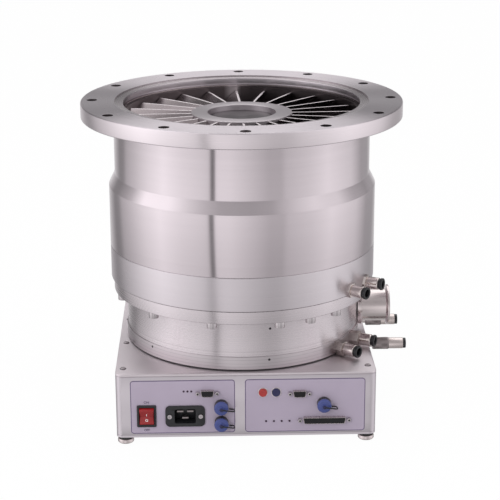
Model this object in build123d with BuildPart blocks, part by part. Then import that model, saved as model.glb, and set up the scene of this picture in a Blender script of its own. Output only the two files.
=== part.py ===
"""Turbomolecular vacuum pump with its controller base, as an assembly of separate pieces.

Frame: millimetres, +Z up out of the inlet, origin at the centre of the inlet flange's
sealing face. The controller's front panel faces -Y and the exhaust port points to +X.
"""
from math import cos, radians, sin, tan
import os

from build123d import *

os.makedirs("parts", exist_ok=True)

# ---------------------------------------------------------------- driving sizes
# inlet casing
FLANGE_R = 212.5
FLANGE_T = 20.0
FLANGE_EDGE = 1.0
FLANGE_BOLTS = 12
FLANGE_BOLT_R = 197.5
FLANGE_HOLE_R = 7.0
SEAT_R = 168.0
SEAT_DEPTH = 2.0
THROAT_R = 156.5
SCREEN_GROOVE_R = 160.0
SCREEN_GROOVE_TOP = -8.0
SCREEN_GROOVE_LOW = -11.5
STACK_TOP = -14.0
CASE_BORE_R = 158.0
UPPER_R = 170.0
TAPER_TOP = -95.0
TAPER_LOW = -111.0
LOWER_R = 178.0
JOINT_Z = -238.0
JOINT_CHAMFER = 1.5
# cooling ring let into the casing's lower end
COOLING_TOP = -192.5
COOLING_INNER_R = 172.6
COOLING_CHAMFER = 0.6
# base housing
RING_R = 174.5
RING_LOW = -255.0
BODY_R = 157.0
STEP_Z = -305.0
FOOT_R = 158.5
# open line where the housing meets the controller
SHADOW_H = 1.8
SHADOW_D = 3.0
HOUSING_BORE_R = 146.0
FLOOR_TOP = -296.0
FLOOR_LOW = -310.0
FLOOR_HOLE_R = 36.0
SKIRT_R = 120.0
# casing bolts
# twelve evenly spread, and one jacking screw
CASE_BOLT_AZIMUTHS = (*range(15, 360, 30), -60)
CASE_BOLT_R = 167.0
CASE_BOLT_SHANK_R = 4.0
CASE_BOLT_HOLE_R = 4.5
CASE_BOLT_HEAD_R = 6.5
CASE_BOLT_HEAD_H = 8.0
CASE_BOLT_THREAD = 16.0
CASE_BOLT_KEY_R = 3.4
CASE_BOLT_KEY_D = 4.0
# plug screws set flush into the base housing: azimuth, radius of the wall, height
PLUGS = ((-78.5, 157.0, -267.8), (-79.0, 158.5, -309.5), (-140.0, 158.5, -309.5), (-13.0, 158.5, -309.5))
PLUG_R = 2.4
PLUG_DEPTH = 8.0
PLUG_SINK = 0.6
PLUG_KEY_R = 1.4
PLUG_KEY_D = 2.0
# seals
SEAL_R = 160.7
SEAL_CORD_R = 1.6
SEAL_WIDTH = 3.4
# rotor
HUB_R = 67.0
HUB_TOP = -17.5
HUB_LOW = -190.0
HUB_BORE_R = 57.0
HUB_ROOF = 30.0
RECESS_R = 45.0
RECESS_DEPTH = 13.0
TIP_R = 152.6
BLADES = 24
ROOT_SINK = 1.5
# drag stage
DRUM_R = 116.0
DRUM_WALL = 4.0
DRUM_LOW = -284.0
WEB_T = 9.0
DRAG_GAP = 1.0
DRAG_WALL = 9.0
DRAG_TOP = -200.0
DRAG_LOW = -290.0
DRAG_GROOVES = 8
DRAG_GROOVE_DEPTH = 4.0
DRAG_GROOVE_W = 14.0
DRAG_LEAD_DEG = 25.0
# shaft and bearings
SHAFT_R = 17.0
SHAFT_TOP = -24.0
SHAFT_LOW = -276.0
SLEEVE_R = 24.0
AIR_GAP = 0.6
STATOR_R = 40.0
CARTRIDGE_R = 50.0
CARTRIDGE_TOP = -80.0
CARTRIDGE_LOW = -284.0
CARTRIDGE_FLANGE_R = 96.0
CARTRIDGE_FLANGE_T = 12.0
CARTRIDGE_BOLTS = 8
CARTRIDGE_BOLT_R = 76.0
CARTRIDGE_SCREW_R = 3.0
CARTRIDGE_HEAD_R = 5.0
CARTRIDGE_HEAD_H = 6.0
CARTRIDGE_THREAD = 7.0
THRUST_R = 38.0
THRUST_TOP = -256.0
THRUST_T = 6.0
THRUST_GAP = 0.5
# exhaust port, KF40
EXHAUST_Z = -290.0
EXHAUST_FLAT_X = 155.5
EXHAUST_COLLAR_R = 26.5
EXHAUST_COLLAR_T = 6.5
EXHAUST_TUBE_R = 22.0
EXHAUST_BORE_R = 20.0
EXHAUST_RIM_R = 27.5
EXHAUST_RIM_T = 3.0
EXHAUST_RIM_DEG = 15.0
EXHAUST_END_X = 200.4
EXHAUST_SEAL_T = 0.8
EXHAUST_SEAL_INNER_R = 21.0
# push-in water fittings
UPPER_AZIMUTHS = (-39.5, -27.0)
LOWER_AZIMUTHS = (-39.5, -25.0)
FITTING_UPPER_Z = -230.5
FITTING_LOWER_Z = -313.5
FITTING_UPPER_R = 167.8
FITTING_LOWER_R = 156.5
FITTING_SPOT_R = 11.2
FITTING_HEX_AF = 18.0
FITTING_HEX_H = 14.5
FITTING_SLEEVE_R = 8.0
FITTING_SLEEVE_H = 16.5
FITTING_SOCKET_R = 5.05
FITTING_SOCKET_H = 15.0
COLLET_R = 8.0
COLLET_HEAD_H = 3.5
COLLET_STEM_R = 6.5
COLLET_STEM_H = 6.0
COLLET_GAP = 2.2
COLLET_CLEAR = 0.05
# couplings on the controller's right wall
COUPLING_Z = -340.0
COUPLING_YS = (-19.0, 79.0)
COUPLING_NECK_R = 5.0
COUPLING_NECK_END = 178.0
COUPLING_HEX_AF = 17.0
COUPLING_HEX_H = 4.0
COUPLING_NUT_R = 8.2
COUPLING_NUT_END = 200.0
COUPLING_SLEEVE_R = 7.6
COUPLING_SLEEVE_END = 219.5
COUPLING_PLUG_R = 7.0
COUPLING_PLUG_END = 223.5
COUPLING_FLUTES = 20
FLUTE_DEPTH, FLUTE_W = 1.0, 0.9
# controller box
BOX_HALF_W = 168.0
BOX_HALF_D = 165.0
BOX_TOP = -324.0
BOX_LOW = -411.0
BOX_CORNER_R = 9.0
BOX_WALL = 4.0
PLATE_T = 3.5
FLOOR_PLATE_T = 3.0
FOOT_INSET = 11.5
FOOT_PAD_R = 9.5
FOOT_PAD_H = 4.0
FOOT_GLIDE_R = 10.5
FOOT_GLIDE_H = 6.0
PLATE_SCREW_INSET = 9.5
PLATE_SCREW_PITCH = 95.4
PLATE_SCREWS = 4                               # along each side
PLATE_SCREW_R = 3.2
PLATE_SCREW_H = 1.6
PLATE_SCREW_SHANK_R = 1.5
PLATE_SCREW_SHANK = 9.0
PLATE_HOLE_R = 118.0
BOARD_W, BOARD_D, BOARD_T = 230.0, 210.0, 1.6
BOARD_EDGE = 30.0
POST_R, POST_H = 4.0, 8.0
FOOT_EDGE = 1.2
# front panel
OVERLAY_T = 0.5
OVERLAY_R = 4.0
OVERLAYS = ((-149.0, -14.5), (-1.5, 153.5))
OVERLAY_TOP = -332.5
OVERLAY_LOW = -405.5
SWITCH_X, SWITCH_Z = -128.5, -381.0
SWITCH_W, SWITCH_H = 25.0, 30.0
SWITCH_LIP = 1.8
SWITCH_CORNER_R = 1.5
SWITCH_ROOM = 2.0
SWITCH_BODY_W, SWITCH_BODY_H, SWITCH_BODY_D = 22.4, 27.4, 22.0
ROCKER_W = 18.6
ROCKER_R = 11.3
ROCKER_CLEAR = 0.4
ROCKER_PIN_R = 1.6
ROCKER_PIN_CLEAR = 0.05
PIN_SPAN = 21.2
ROCKER_DISH_Y, ROCKER_FACE_Y, ROCKER_BACK_Y = -2.4, -5.0, 3.5
ROCKER_TILT = 8.0
INLET_X, INLET_Z = -78.8, -381.5
INLET_W, INLET_H = 51.0, 28.5
INLET_LIP = 2.4
INLET_CORNER_R = 6.0
INLET_CAVITY_CORNER_R = 2.0
INLET_BODY_W, INLET_BODY_H, INLET_BODY_D = 33.0, 25.0, 24.0
INLET_CAVITY_W, INLET_CAVITY_H, INLET_CAVITY_D = 27.4, 19.4, 18.0
INLET_SCREW_SPAN = 40.0
INLET_PIN_W, INLET_PIN_T, INLET_PIN_L = 8.0, 2.0, 11.5
INLET_PIN_DX, INLET_PIN_DZ = 6.5, 4.5
SCREW_R, SCREW_H = 3.0, 1.6
PORT_FLANGE_T = 0.8
PORT_FLANGE_EXTRA = 6.0
PORT_FLANGE_H = 12.6
PORT_FLANGE_CORNER_R = 1.5
PORT_SIDE_DEG = 80.0
PORT_FACE_SINK = 0.8
PORT_BACK = 8.0
JACK_AF, JACK_H = 4.8, 5.0
PORT_PROUD = 6.0
PORT_SHELL_H = 8.6
PORT_SHELL_T = 0.6
PORTS = ((-50.0, -350.0, 17.4, 25.0), (68.8, -352.2, 17.4, 25.0), (101.0, -389.2, 55.4, 63.5))
LAMP_R = 1.5
LAMP_PROUD = 0.8
LAMPS_LEFT = (-80.4, -347.8, 4.9, 3)
LAMPS_RIGHT = (25.6, -390.7, 10.1, 4)
BUTTONS = {"run_button": (21.6, -350.6), "reset_button": (38.6, -350.6)}
BUTTON_R = 5.4
BUTTON_PROUD = 3.2
BUTTON_STROKE = 2.5
BUTTON_CLEAR = 0.1
BEZEL_R = 6.6
BEZEL_H = 0.8
BEZEL_BODY_R = 6.0
BEZEL_DEPTH = 12.0
BUTTON_DEPTH = 6.0
BUTTON_EDGE = 0.8
CAPS = ((-32.2, -368.2), (-32.2, -391.0), (100.2, -366.6))
CONNECTOR_R = 7.4
CONNECTOR_BODY_R = 6.4
CONNECTOR_BARREL_R = 9.0
CONNECTOR_BARREL_L = 7.6
CONNECTOR_L = 9.0
CAP_R = 9.2
CAP_EDGE = 1.2
CAP_H = 4.4
CAP_HUB_R = 3.6
CAP_HUB_H = 2.0
CAP_CLEAR = 0.05
TETHER_R = 0.9
TETHER_PIN_R = 1.6
TETHER_PIN_CLEAR = 0.06
TETHER_REACH = 17.0
TETHER_DROP = 4.5
TETHER_BEND_R = 2.6
TETHER_PIN_L = 1.5
TETHER_ROOT = 1.0
MEET = 0.3                                   # gap between pieces that only pass each other

FRONT_Y = -BOX_HALF_D
CASE_LOW = BOX_LOW + FLOOR_PLATE_T
CASE_TOP = BOX_TOP - PLATE_T


def save(piece, label):
    """Labels a finished piece and writes it as its own STEP file."""
    piece.part.label = label
    export_step(piece.part, f"parts/{label}.step")


def front(depth=0.0):
    """The front panel's plane: x right, y up, normal towards the viewer, depth mm behind the face."""
    return Plane(origin=(0, FRONT_Y + depth, 0), x_dir=(1, 0, 0), z_dir=(0, -1, 0))


def turned(points):
    """Revolves a closed (radius, height) outline about Z into one solid."""
    with BuildPart() as made:
        with BuildSketch(Plane.XZ):
            with BuildLine():
                Polyline(points, close=True)
            make_face()
        revolve(axis=Axis.Z)
    return made


def ring(outer, inner, top, low):
    """A plain ring between two heights."""
    return turned([(inner, low), (outer, low), (outer, top), (inner, top)])


def rings(rows):
    """Separate plain rings, one for each (outer, inner, top, low)."""
    with BuildPart() as made:
        for outer, inner, top, low in rows:
            with BuildSketch(Plane.XY.offset(low)):
                Circle(outer)
                Circle(inner, mode=Mode.SUBTRACT)
            extrude(amount=top - low)
    return made


# ---------------------------------------------------------------- casing
UPPER_FITTINGS = [(azimuth, FITTING_UPPER_R, FITTING_UPPER_Z) for azimuth in UPPER_AZIMUTHS]
LOWER_FITTINGS = [(azimuth, FITTING_LOWER_R, FITTING_LOWER_Z) for azimuth in LOWER_AZIMUTHS]
FITTINGS = UPPER_FITTINGS + LOWER_FITTINGS
exhaust_axis = Plane(origin=(EXHAUST_FLAT_X, 0, EXHAUST_Z), x_dir=(0, 1, 0), z_dir=(1, 0, 0))
CASE_BOLT_PLACES = [
    (CASE_BOLT_R * cos(radians(turn)), CASE_BOLT_R * sin(radians(turn))) for turn in CASE_BOLT_AZIMUTHS
]


def fitting_plane(azimuth, radius, height):
    """A plane facing radially outwards, at one fitting's seat."""
    out = (cos(radians(azimuth)), sin(radians(azimuth)), 0)
    return Plane(origin=(radius * out[0], radius * out[1], height), x_dir=(-out[1], out[0], 0), z_dir=out)


def seat_cutters():
    """The round cutters that seat the upper fittings."""
    with BuildPart() as cutters:
        for place in UPPER_FITTINGS:
            with BuildSketch(fitting_plane(*place)):
                Circle(FITTING_SPOT_R)
            extrude(amount=UPPER_R - CASE_BORE_R + FITTING_SPOT_R)
    return cutters.part


with BuildPart() as inlet_casing:
    with BuildSketch(Plane.XZ):
        with BuildLine():
            Polyline(
                (SEAT_R, 0), (FLANGE_R - FLANGE_EDGE, 0), (FLANGE_R, -FLANGE_EDGE),
                (FLANGE_R, FLANGE_EDGE - FLANGE_T), (FLANGE_R - FLANGE_EDGE, -FLANGE_T),
                (UPPER_R, -FLANGE_T), (UPPER_R, TAPER_TOP), (LOWER_R, TAPER_LOW),
                (LOWER_R, COOLING_TOP + COOLING_CHAMFER), (LOWER_R - COOLING_CHAMFER, COOLING_TOP),
                (COOLING_INNER_R, COOLING_TOP), (COOLING_INNER_R, JOINT_Z), (CASE_BORE_R, JOINT_Z),
                (CASE_BORE_R, STACK_TOP), (THROAT_R, STACK_TOP), (THROAT_R, SCREEN_GROOVE_LOW),
                (SCREEN_GROOVE_R, SCREEN_GROOVE_LOW), (SCREEN_GROOVE_R, SCREEN_GROOVE_TOP),
                (THROAT_R, SCREEN_GROOVE_TOP), (THROAT_R, -SEAT_DEPTH), (SEAT_R, -SEAT_DEPTH),
                close=True,
            )
        make_face()
    revolve(axis=Axis.Z)
    with PolarLocations(FLANGE_BOLT_R, FLANGE_BOLTS):
        Hole(FLANGE_HOLE_R)
    with BuildSketch(Plane.XY.offset(JOINT_Z)):
        with Locations(*CASE_BOLT_PLACES):
            Circle(CASE_BOLT_SHANK_R)
    extrude(amount=CASE_BOLT_THREAD, mode=Mode.SUBTRACT)
    add(seat_cutters(), mode=Mode.SUBTRACT)
save(inlet_casing, "inlet_casing")

with BuildPart() as cooling_ring:
    with BuildSketch(Plane.XZ):
        with BuildLine():
            Polyline(
                (COOLING_INNER_R, JOINT_Z), (LOWER_R - JOINT_CHAMFER, JOINT_Z),
                (LOWER_R, JOINT_Z + JOINT_CHAMFER), (LOWER_R, COOLING_TOP - COOLING_CHAMFER),
                (LOWER_R - COOLING_CHAMFER, COOLING_TOP), (COOLING_INNER_R, COOLING_TOP),
                close=True,
            )
        make_face()
    revolve(axis=Axis.Z)
    add(seat_cutters(), mode=Mode.SUBTRACT)
save(cooling_ring, "cooling_ring")

with BuildPart() as base_housing:
    with BuildSketch(Plane.XZ):
        with BuildLine():
            Polyline(
                (HOUSING_BORE_R, JOINT_Z), (SEAL_R - SEAL_WIDTH / 2, JOINT_Z),
                (SEAL_R - SEAL_WIDTH / 2, JOINT_Z - 2 * SEAL_CORD_R),
                (SEAL_R + SEAL_WIDTH / 2, JOINT_Z - 2 * SEAL_CORD_R),
                (SEAL_R + SEAL_WIDTH / 2, JOINT_Z), (RING_R, JOINT_Z), (RING_R, RING_LOW),
                (BODY_R, RING_LOW), (BODY_R, STEP_Z), (FOOT_R, STEP_Z), (FOOT_R, BOX_TOP + SHADOW_H),
                (FOOT_R - SHADOW_D, BOX_TOP + SHADOW_H), (FOOT_R - SHADOW_D, BOX_TOP),
                (SKIRT_R, BOX_TOP), (SKIRT_R, FLOOR_LOW), (FLOOR_HOLE_R, FLOOR_LOW),
                (FLOOR_HOLE_R, FLOOR_TOP), (HOUSING_BORE_R, FLOOR_TOP),
                close=True,
            )
        make_face()
    revolve(axis=Axis.Z)
    with BuildSketch(Plane.XY.offset(RING_LOW)):
        with Locations(*CASE_BOLT_PLACES):
            Circle(CASE_BOLT_HOLE_R)
    extrude(amount=JOINT_Z - RING_LOW, mode=Mode.SUBTRACT)
    with BuildSketch(Plane.XY.offset(RING_LOW)):
        with Locations(*CASE_BOLT_PLACES):
            Circle(CASE_BOLT_HEAD_R + MEET)
    extrude(amount=-CASE_BOLT_HEAD_H - MEET, mode=Mode.SUBTRACT)
    with BuildSketch(exhaust_axis):
        Circle(EXHAUST_COLLAR_R + MEET)
    extrude(amount=FOOT_R, mode=Mode.SUBTRACT)
    with BuildSketch(exhaust_axis):
        Circle(EXHAUST_BORE_R)
    extrude(amount=HOUSING_BORE_R - EXHAUST_FLAT_X - DRAG_WALL, mode=Mode.SUBTRACT)
    with BuildSketch(Plane.XY.offset(FLOOR_TOP)):
        with PolarLocations(CARTRIDGE_BOLT_R, CARTRIDGE_BOLTS):
            Circle(CARTRIDGE_SCREW_R)
    extrude(amount=-CARTRIDGE_THREAD - MEET, mode=Mode.SUBTRACT)
    add(seat_cutters(), mode=Mode.SUBTRACT)
    for place in LOWER_FITTINGS:
        with BuildSketch(fitting_plane(*place)):
            Rectangle(2 * FITTING_SPOT_R, 2 * FITTING_SPOT_R)
        extrude(amount=LOWER_R, mode=Mode.SUBTRACT)
    for place in PLUGS:
        with BuildSketch(fitting_plane(*place)):
            Circle(PLUG_R)
        extrude(amount=PLUG_SINK, both=True, mode=Mode.SUBTRACT)
        with BuildSketch(fitting_plane(*place)):
            Circle(PLUG_R)
        extrude(amount=-PLUG_DEPTH, mode=Mode.SUBTRACT)
save(base_housing, "base_housing")

with BuildPart() as housing_plugs:
    for azimuth, radius, height in PLUGS:
        with BuildSketch(fitting_plane(azimuth, radius - PLUG_SINK, height)):
            Circle(PLUG_R)
        extrude(amount=PLUG_SINK - PLUG_DEPTH)
        with BuildSketch(fitting_plane(azimuth, radius - PLUG_SINK, height)):
            RegularPolygon(PLUG_KEY_R, 6)
        extrude(amount=-PLUG_KEY_D, mode=Mode.SUBTRACT)
save(housing_plugs, "housing_plugs")

with BuildPart() as vacuum_seals:
    with BuildSketch(Plane.XZ):
        with Locations((SEAL_R, JOINT_Z - SEAL_CORD_R)):
            Circle(SEAL_CORD_R)
    revolve(axis=Axis.Z)
    with BuildSketch(exhaust_axis):
        Circle(EXHAUST_COLLAR_R - MEET)
        Circle(EXHAUST_SEAL_INNER_R, mode=Mode.SUBTRACT)
    extrude(amount=EXHAUST_SEAL_T)
save(vacuum_seals, "vacuum_seals")

with BuildPart() as casing_bolts:
    with BuildSketch(Plane.XY.offset(RING_LOW)):
        with Locations(*CASE_BOLT_PLACES):
            Circle(CASE_BOLT_HEAD_R)
    extrude(amount=-CASE_BOLT_HEAD_H)
    with BuildSketch(Plane.XY.offset(RING_LOW)):
        with Locations(*CASE_BOLT_PLACES):
            Circle(CASE_BOLT_SHANK_R)
    extrude(amount=JOINT_Z + CASE_BOLT_THREAD - RING_LOW)
    with BuildSketch(Plane.XY.offset(RING_LOW - CASE_BOLT_HEAD_H)):
        with Locations(*CASE_BOLT_PLACES):
            RegularPolygon(CASE_BOLT_KEY_R, 6)
    extrude(amount=CASE_BOLT_KEY_D, mode=Mode.SUBTRACT)
save(casing_bolts, "casing_bolts")

# ---------------------------------------------------------------- bladed stages
# (top, height, root pitch angle, tip pitch angle, root thickness, tip thickness)
ROTOR_STAGES = (
    (-19.0, 26.0, 58.0, 39.0, 2.6, 1.7),
    (-65.0, 14.0, 42.0, 32.0, 2.0, 1.6),
    (-97.0, 11.0, 38.0, 30.0, 2.0, 1.6),
    (-124.0, 9.0, 34.0, 28.0, 1.8, 1.6),
    (-148.0, 8.0, 30.0, 26.0, 1.8, 1.6),
)
# (top, height, pitch angle, blade thickness)
STATOR_STAGES = (
    (-50.0, 11.0, 38.0, 1.6),
    (-83.0, 10.0, 34.0, 1.6),
    (-111.5, 9.0, 30.0, 1.6),
    (-136.0, 8.5, 28.0, 1.6),
    (-159.0, 8.0, 26.0, 1.6),
)
STATOR_HUB_R = 68.5
STATOR_HUB_WALL = 3.0
RIM_T = 4.0
RIM_LAP = 1.5
STACK_INNER_R = 153.4
STACK_LOW = -196.0
SPLIT_GAP = 0.4


def blade_plane(radius, height):
    """A plane facing +X at one radius: its x runs along +Y and its y runs up."""
    return Plane(origin=(radius, 0, height), x_dir=(0, 1, 0), z_dir=(1, 0, 0))


def blade_outline(height, pitch, thickness, lean):
    """Slanted blade section, cut flat at the top and the bottom."""
    half_run = lean * height / tan(radians(pitch)) / 2
    half_width = thickness / sin(radians(pitch)) / 2
    return [
        (-half_run - half_width, height / 2), (-half_run + half_width, height / 2),
        (half_run + half_width, -height / 2), (half_run - half_width, -height / 2),
    ]


def rotor_blade(top, height, root_pitch, tip_pitch, root_t, tip_t):
    """One blade, twisted from its steep root to its flatter tip."""
    with BuildPart() as made:
        for radius, pitch, thick in (
            (HUB_R - ROOT_SINK, root_pitch, root_t), (TIP_R - ROOT_SINK, tip_pitch, tip_t)
        ):
            with BuildSketch(blade_plane(radius, top - height / 2)):
                with BuildLine():
                    Polyline(blade_outline(height, pitch, thick, 1), close=True)
                make_face()
        loft(ruled=True)
    return made.part


rotor_blades = [rotor_blade(*stage) for stage in ROTOR_STAGES]
with BuildPart() as rotor:
    with BuildSketch(Plane.XZ):
        with BuildLine():
            Polyline(
                (SHAFT_R, HUB_TOP - RECESS_DEPTH), (RECESS_R, HUB_TOP - RECESS_DEPTH),
                (RECESS_R, HUB_TOP), (HUB_R, HUB_TOP), (HUB_R, HUB_LOW + WEB_T),
                (DRUM_R - DRUM_WALL, HUB_LOW + WEB_T), (DRUM_R - DRUM_WALL, HUB_LOW),
                (HUB_BORE_R, HUB_LOW), (HUB_BORE_R, HUB_TOP - RECESS_DEPTH - HUB_ROOF),
                (SHAFT_R, HUB_TOP - RECESS_DEPTH - HUB_ROOF),
                close=True,
            )
        make_face()
    revolve(axis=Axis.Z)
    for blade in rotor_blades:
        with PolarLocations(0, BLADES, start_angle=180 / BLADES):
            add(blade)
save(rotor, "rotor")


def stator_stage(top, height, pitch, thickness):
    """A stator disc: inner band, slanted blades and outer rim, split into two half rings."""
    middle = top - height / 2
    with BuildPart() as blade:
        with BuildSketch(blade_plane(STATOR_HUB_R + STATOR_HUB_WALL / 2, middle)):
            with BuildLine():
                Polyline(blade_outline(height, pitch, thickness, -1), close=True)
            make_face()
        extrude(amount=STACK_INNER_R - 2 * MEET - STATOR_HUB_R - STATOR_HUB_WALL / 2)
    with BuildPart() as made:
        with BuildSketch(Plane.XY.offset(top - height)):
            Circle(STATOR_HUB_R + STATOR_HUB_WALL)
            Circle(STATOR_HUB_R, mode=Mode.SUBTRACT)
        extrude(amount=height)
        with BuildSketch(Plane.XY.offset(middle - RIM_T / 2)):
            Circle(CASE_BORE_R)
            Circle(STACK_INNER_R - RIM_LAP, mode=Mode.SUBTRACT)
        extrude(amount=RIM_T)
        with PolarLocations(0, BLADES, start_angle=180 / BLADES):
            add(blade.part)
        with BuildSketch(Plane.XY.offset(top)):
            Rectangle(2 * LOWER_R, SPLIT_GAP)
        extrude(amount=-height, mode=Mode.SUBTRACT)
    return made


for number, stage in enumerate(STATOR_STAGES, 1):
    save(stator_stage(*stage), f"stator_stage_{number}")

rim_edges = [STACK_TOP]
for top, height, pitch, thickness in STATOR_STAGES:
    rim_edges += [top - height / 2 + RIM_T / 2, top - height / 2 - RIM_T / 2]
rim_edges += [STACK_LOW]
spacer_rings = rings(
    [(CASE_BORE_R, STACK_INNER_R, high, low) for high, low in zip(rim_edges[::2], rim_edges[1::2])]
)
save(spacer_rings, "spacer_rings")

# ---------------------------------------------------------------- drag stage
holweck_drum = ring(DRUM_R, DRUM_R - DRUM_WALL, HUB_LOW + WEB_T, DRUM_LOW)
save(holweck_drum, "holweck_drum")

with BuildPart() as holweck_stator:
    with BuildSketch(Plane.XZ):
        with BuildLine():
            Polyline(
                (DRUM_R + DRAG_GAP, DRAG_LOW), (DRUM_R + DRAG_GAP + DRAG_WALL, DRAG_LOW),
                (DRUM_R + DRAG_GAP + DRAG_WALL, JOINT_Z), (CASE_BORE_R, JOINT_Z),
                (CASE_BORE_R, STACK_LOW), (STACK_INNER_R, STACK_LOW),
                (STACK_INNER_R, DRAG_TOP), (DRUM_R + DRAG_GAP, DRAG_TOP),
                close=True,
            )
        make_face()
    revolve(axis=Axis.Z)
    for step in range(DRAG_GROOVES):
        turn = 360 / DRAG_GROOVES * step
        out = Vector(cos(radians(turn)), sin(radians(turn)), 0)
        side = Vector(-out.Y, out.X, 0)
        lean = side * cos(radians(DRAG_LEAD_DEG)) + Vector(0, 0, sin(radians(DRAG_LEAD_DEG)))
        groove = Plane(
            origin=out * (DRUM_R - DRUM_WALL) + Vector(0, 0, (JOINT_Z + DRAG_LOW) / 2), x_dir=lean, z_dir=out
        )
        with BuildSketch(groove):
            Rectangle(2 * DRUM_R / 3, DRAG_GROOVE_W)
        extrude(amount=DRUM_WALL + DRAG_GAP + DRAG_GROOVE_DEPTH, mode=Mode.SUBTRACT)
save(holweck_stator, "holweck_stator")

# ---------------------------------------------------------------- shaft and magnetic bearings
# heights along the shaft, top and low
TOUCH_UPPER, TOUCH_LOWER = (-84.0, -92.0), (-223.0, -231.0)
SENSE_UPPER, SENSE_LOWER = (-94.0, -99.0), (-215.0, -220.0)
MAGNET_UPPER, MAGNET_LOWER = (-102.0, -127.0), (-187.0, -212.0)
MOTOR = (-132.0, -182.0)
AXIAL_UPPER = (-234.0, THRUST_TOP + THRUST_GAP)
AXIAL_LOWER = (THRUST_TOP - THRUST_T - THRUST_GAP, -282.0)
AXIAL_INNER_R = 20.0
TOUCH_GAP = 0.3
TOUCH_R = 30.0
CLAMP_T = 6.0
CLAMP_R = 44.6
CLAMP_EDGE = 1.0
NOSE_R = 14.0
NOSE_H = 4.0
RECESS_FLOOR = HUB_TOP - RECESS_DEPTH

rotor_shaft = turned([
    (0, SHAFT_LOW), (SHAFT_R, SHAFT_LOW), (SHAFT_R, RECESS_FLOOR), (NOSE_R, RECESS_FLOOR),
    (NOSE_R, RECESS_FLOOR + NOSE_H), (0, RECESS_FLOOR + NOSE_H),
])
save(rotor_shaft, "rotor_shaft")

# plain disc screwed onto the shaft's nose, closing the recess
rotor_clamp_disc = turned([
    (NOSE_R, RECESS_FLOOR), (CLAMP_R, RECESS_FLOOR), (CLAMP_R, RECESS_FLOOR + CLAMP_T - CLAMP_EDGE),
    (CLAMP_R - CLAMP_EDGE, RECESS_FLOOR + CLAMP_T), (0, RECESS_FLOOR + CLAMP_T), (0, RECESS_FLOOR + NOSE_H),
    (NOSE_R, RECESS_FLOOR + NOSE_H),
])
save(rotor_clamp_disc, "rotor_clamp_disc")

save(rings([(SLEEVE_R, SHAFT_R, *place) for place in (MAGNET_UPPER, MOTOR, MAGNET_LOWER)]), "shaft_sleeves")
save(ring(THRUST_R, SHAFT_R, THRUST_TOP, THRUST_TOP - THRUST_T), "thrust_disc")
save(ring(STATOR_R, SLEEVE_R + AIR_GAP, *MOTOR), "motor_stator")
save(
    rings([(STATOR_R, SLEEVE_R + AIR_GAP, *MAGNET_UPPER), (STATOR_R, SLEEVE_R + AIR_GAP, *MAGNET_LOWER)]),
    "radial_magnets",
)
save(
    rings([(STATOR_R, AXIAL_INNER_R, *AXIAL_UPPER), (STATOR_R, AXIAL_INNER_R, *AXIAL_LOWER)]),
    "axial_magnets",
)
save(
    rings([(STATOR_R, SHAFT_R + AIR_GAP, *SENSE_UPPER), (STATOR_R, SHAFT_R + AIR_GAP, *SENSE_LOWER)]),
    "position_sensors",
)
save(
    rings([(STATOR_R, SHAFT_R + TOUCH_GAP, *TOUCH_UPPER), (STATOR_R, SHAFT_R + TOUCH_GAP, *TOUCH_LOWER)]),
    "touchdown_bearings",
)

with BuildPart() as bearing_housing:
    with BuildSketch(Plane.XZ):
        with BuildLine():
            Polyline(
                (STATOR_R, CARTRIDGE_TOP), (CARTRIDGE_R, CARTRIDGE_TOP), (CARTRIDGE_R, CARTRIDGE_LOW),
                (CARTRIDGE_FLANGE_R, CARTRIDGE_LOW), (CARTRIDGE_FLANGE_R, FLOOR_TOP),
                (FLOOR_HOLE_R, FLOOR_TOP), (FLOOR_HOLE_R, AXIAL_LOWER[1]), (STATOR_R, AXIAL_LOWER[1]),
                close=True,
            )
        make_face()
    revolve(axis=Axis.Z)
    with BuildSketch(Plane.XY.offset(FLOOR_TOP)):
        with PolarLocations(CARTRIDGE_BOLT_R, CARTRIDGE_BOLTS):
            Circle(CARTRIDGE_SCREW_R)
    extrude(amount=CARTRIDGE_FLANGE_T, mode=Mode.SUBTRACT)
save(bearing_housing, "bearing_housing")

with BuildPart() as cartridge_screws:
    with BuildSketch(Plane.XY.offset(CARTRIDGE_LOW)):
        with PolarLocations(CARTRIDGE_BOLT_R, CARTRIDGE_BOLTS):
            Circle(CARTRIDGE_HEAD_R)
    extrude(amount=CARTRIDGE_HEAD_H)
    with BuildSketch(Plane.XY.offset(CARTRIDGE_LOW)):
        with PolarLocations(CARTRIDGE_BOLT_R, CARTRIDGE_BOLTS):
            Circle(CARTRIDGE_SCREW_R)
    extrude(amount=-CARTRIDGE_FLANGE_T - CARTRIDGE_THREAD)
save(cartridge_screws, "cartridge_screws")

# ---------------------------------------------------------------- exhaust port
EXHAUST_BASE_X = EXHAUST_FLAT_X + EXHAUST_SEAL_T
RIM_SLOPE = (EXHAUST_RIM_R - EXHAUST_TUBE_R) * tan(radians(EXHAUST_RIM_DEG))
with BuildPart() as exhaust_port:
    with BuildSketch(Plane.XY.offset(EXHAUST_Z)):
        with BuildLine():
            Polyline(
                (EXHAUST_BASE_X, EXHAUST_BORE_R), (EXHAUST_BASE_X, EXHAUST_COLLAR_R),
                (EXHAUST_BASE_X + EXHAUST_COLLAR_T, EXHAUST_COLLAR_R),
                (EXHAUST_BASE_X + EXHAUST_COLLAR_T, EXHAUST_TUBE_R),
                (EXHAUST_END_X - EXHAUST_RIM_T - RIM_SLOPE, EXHAUST_TUBE_R),
                (EXHAUST_END_X - EXHAUST_RIM_T, EXHAUST_RIM_R), (EXHAUST_END_X, EXHAUST_RIM_R),
                (EXHAUST_END_X, EXHAUST_BORE_R),
                close=True,
            )
        make_face()
    revolve(axis=Axis((0, 0, EXHAUST_Z), (1, 0, 0)))
save(exhaust_port, "exhaust_port")

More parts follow.
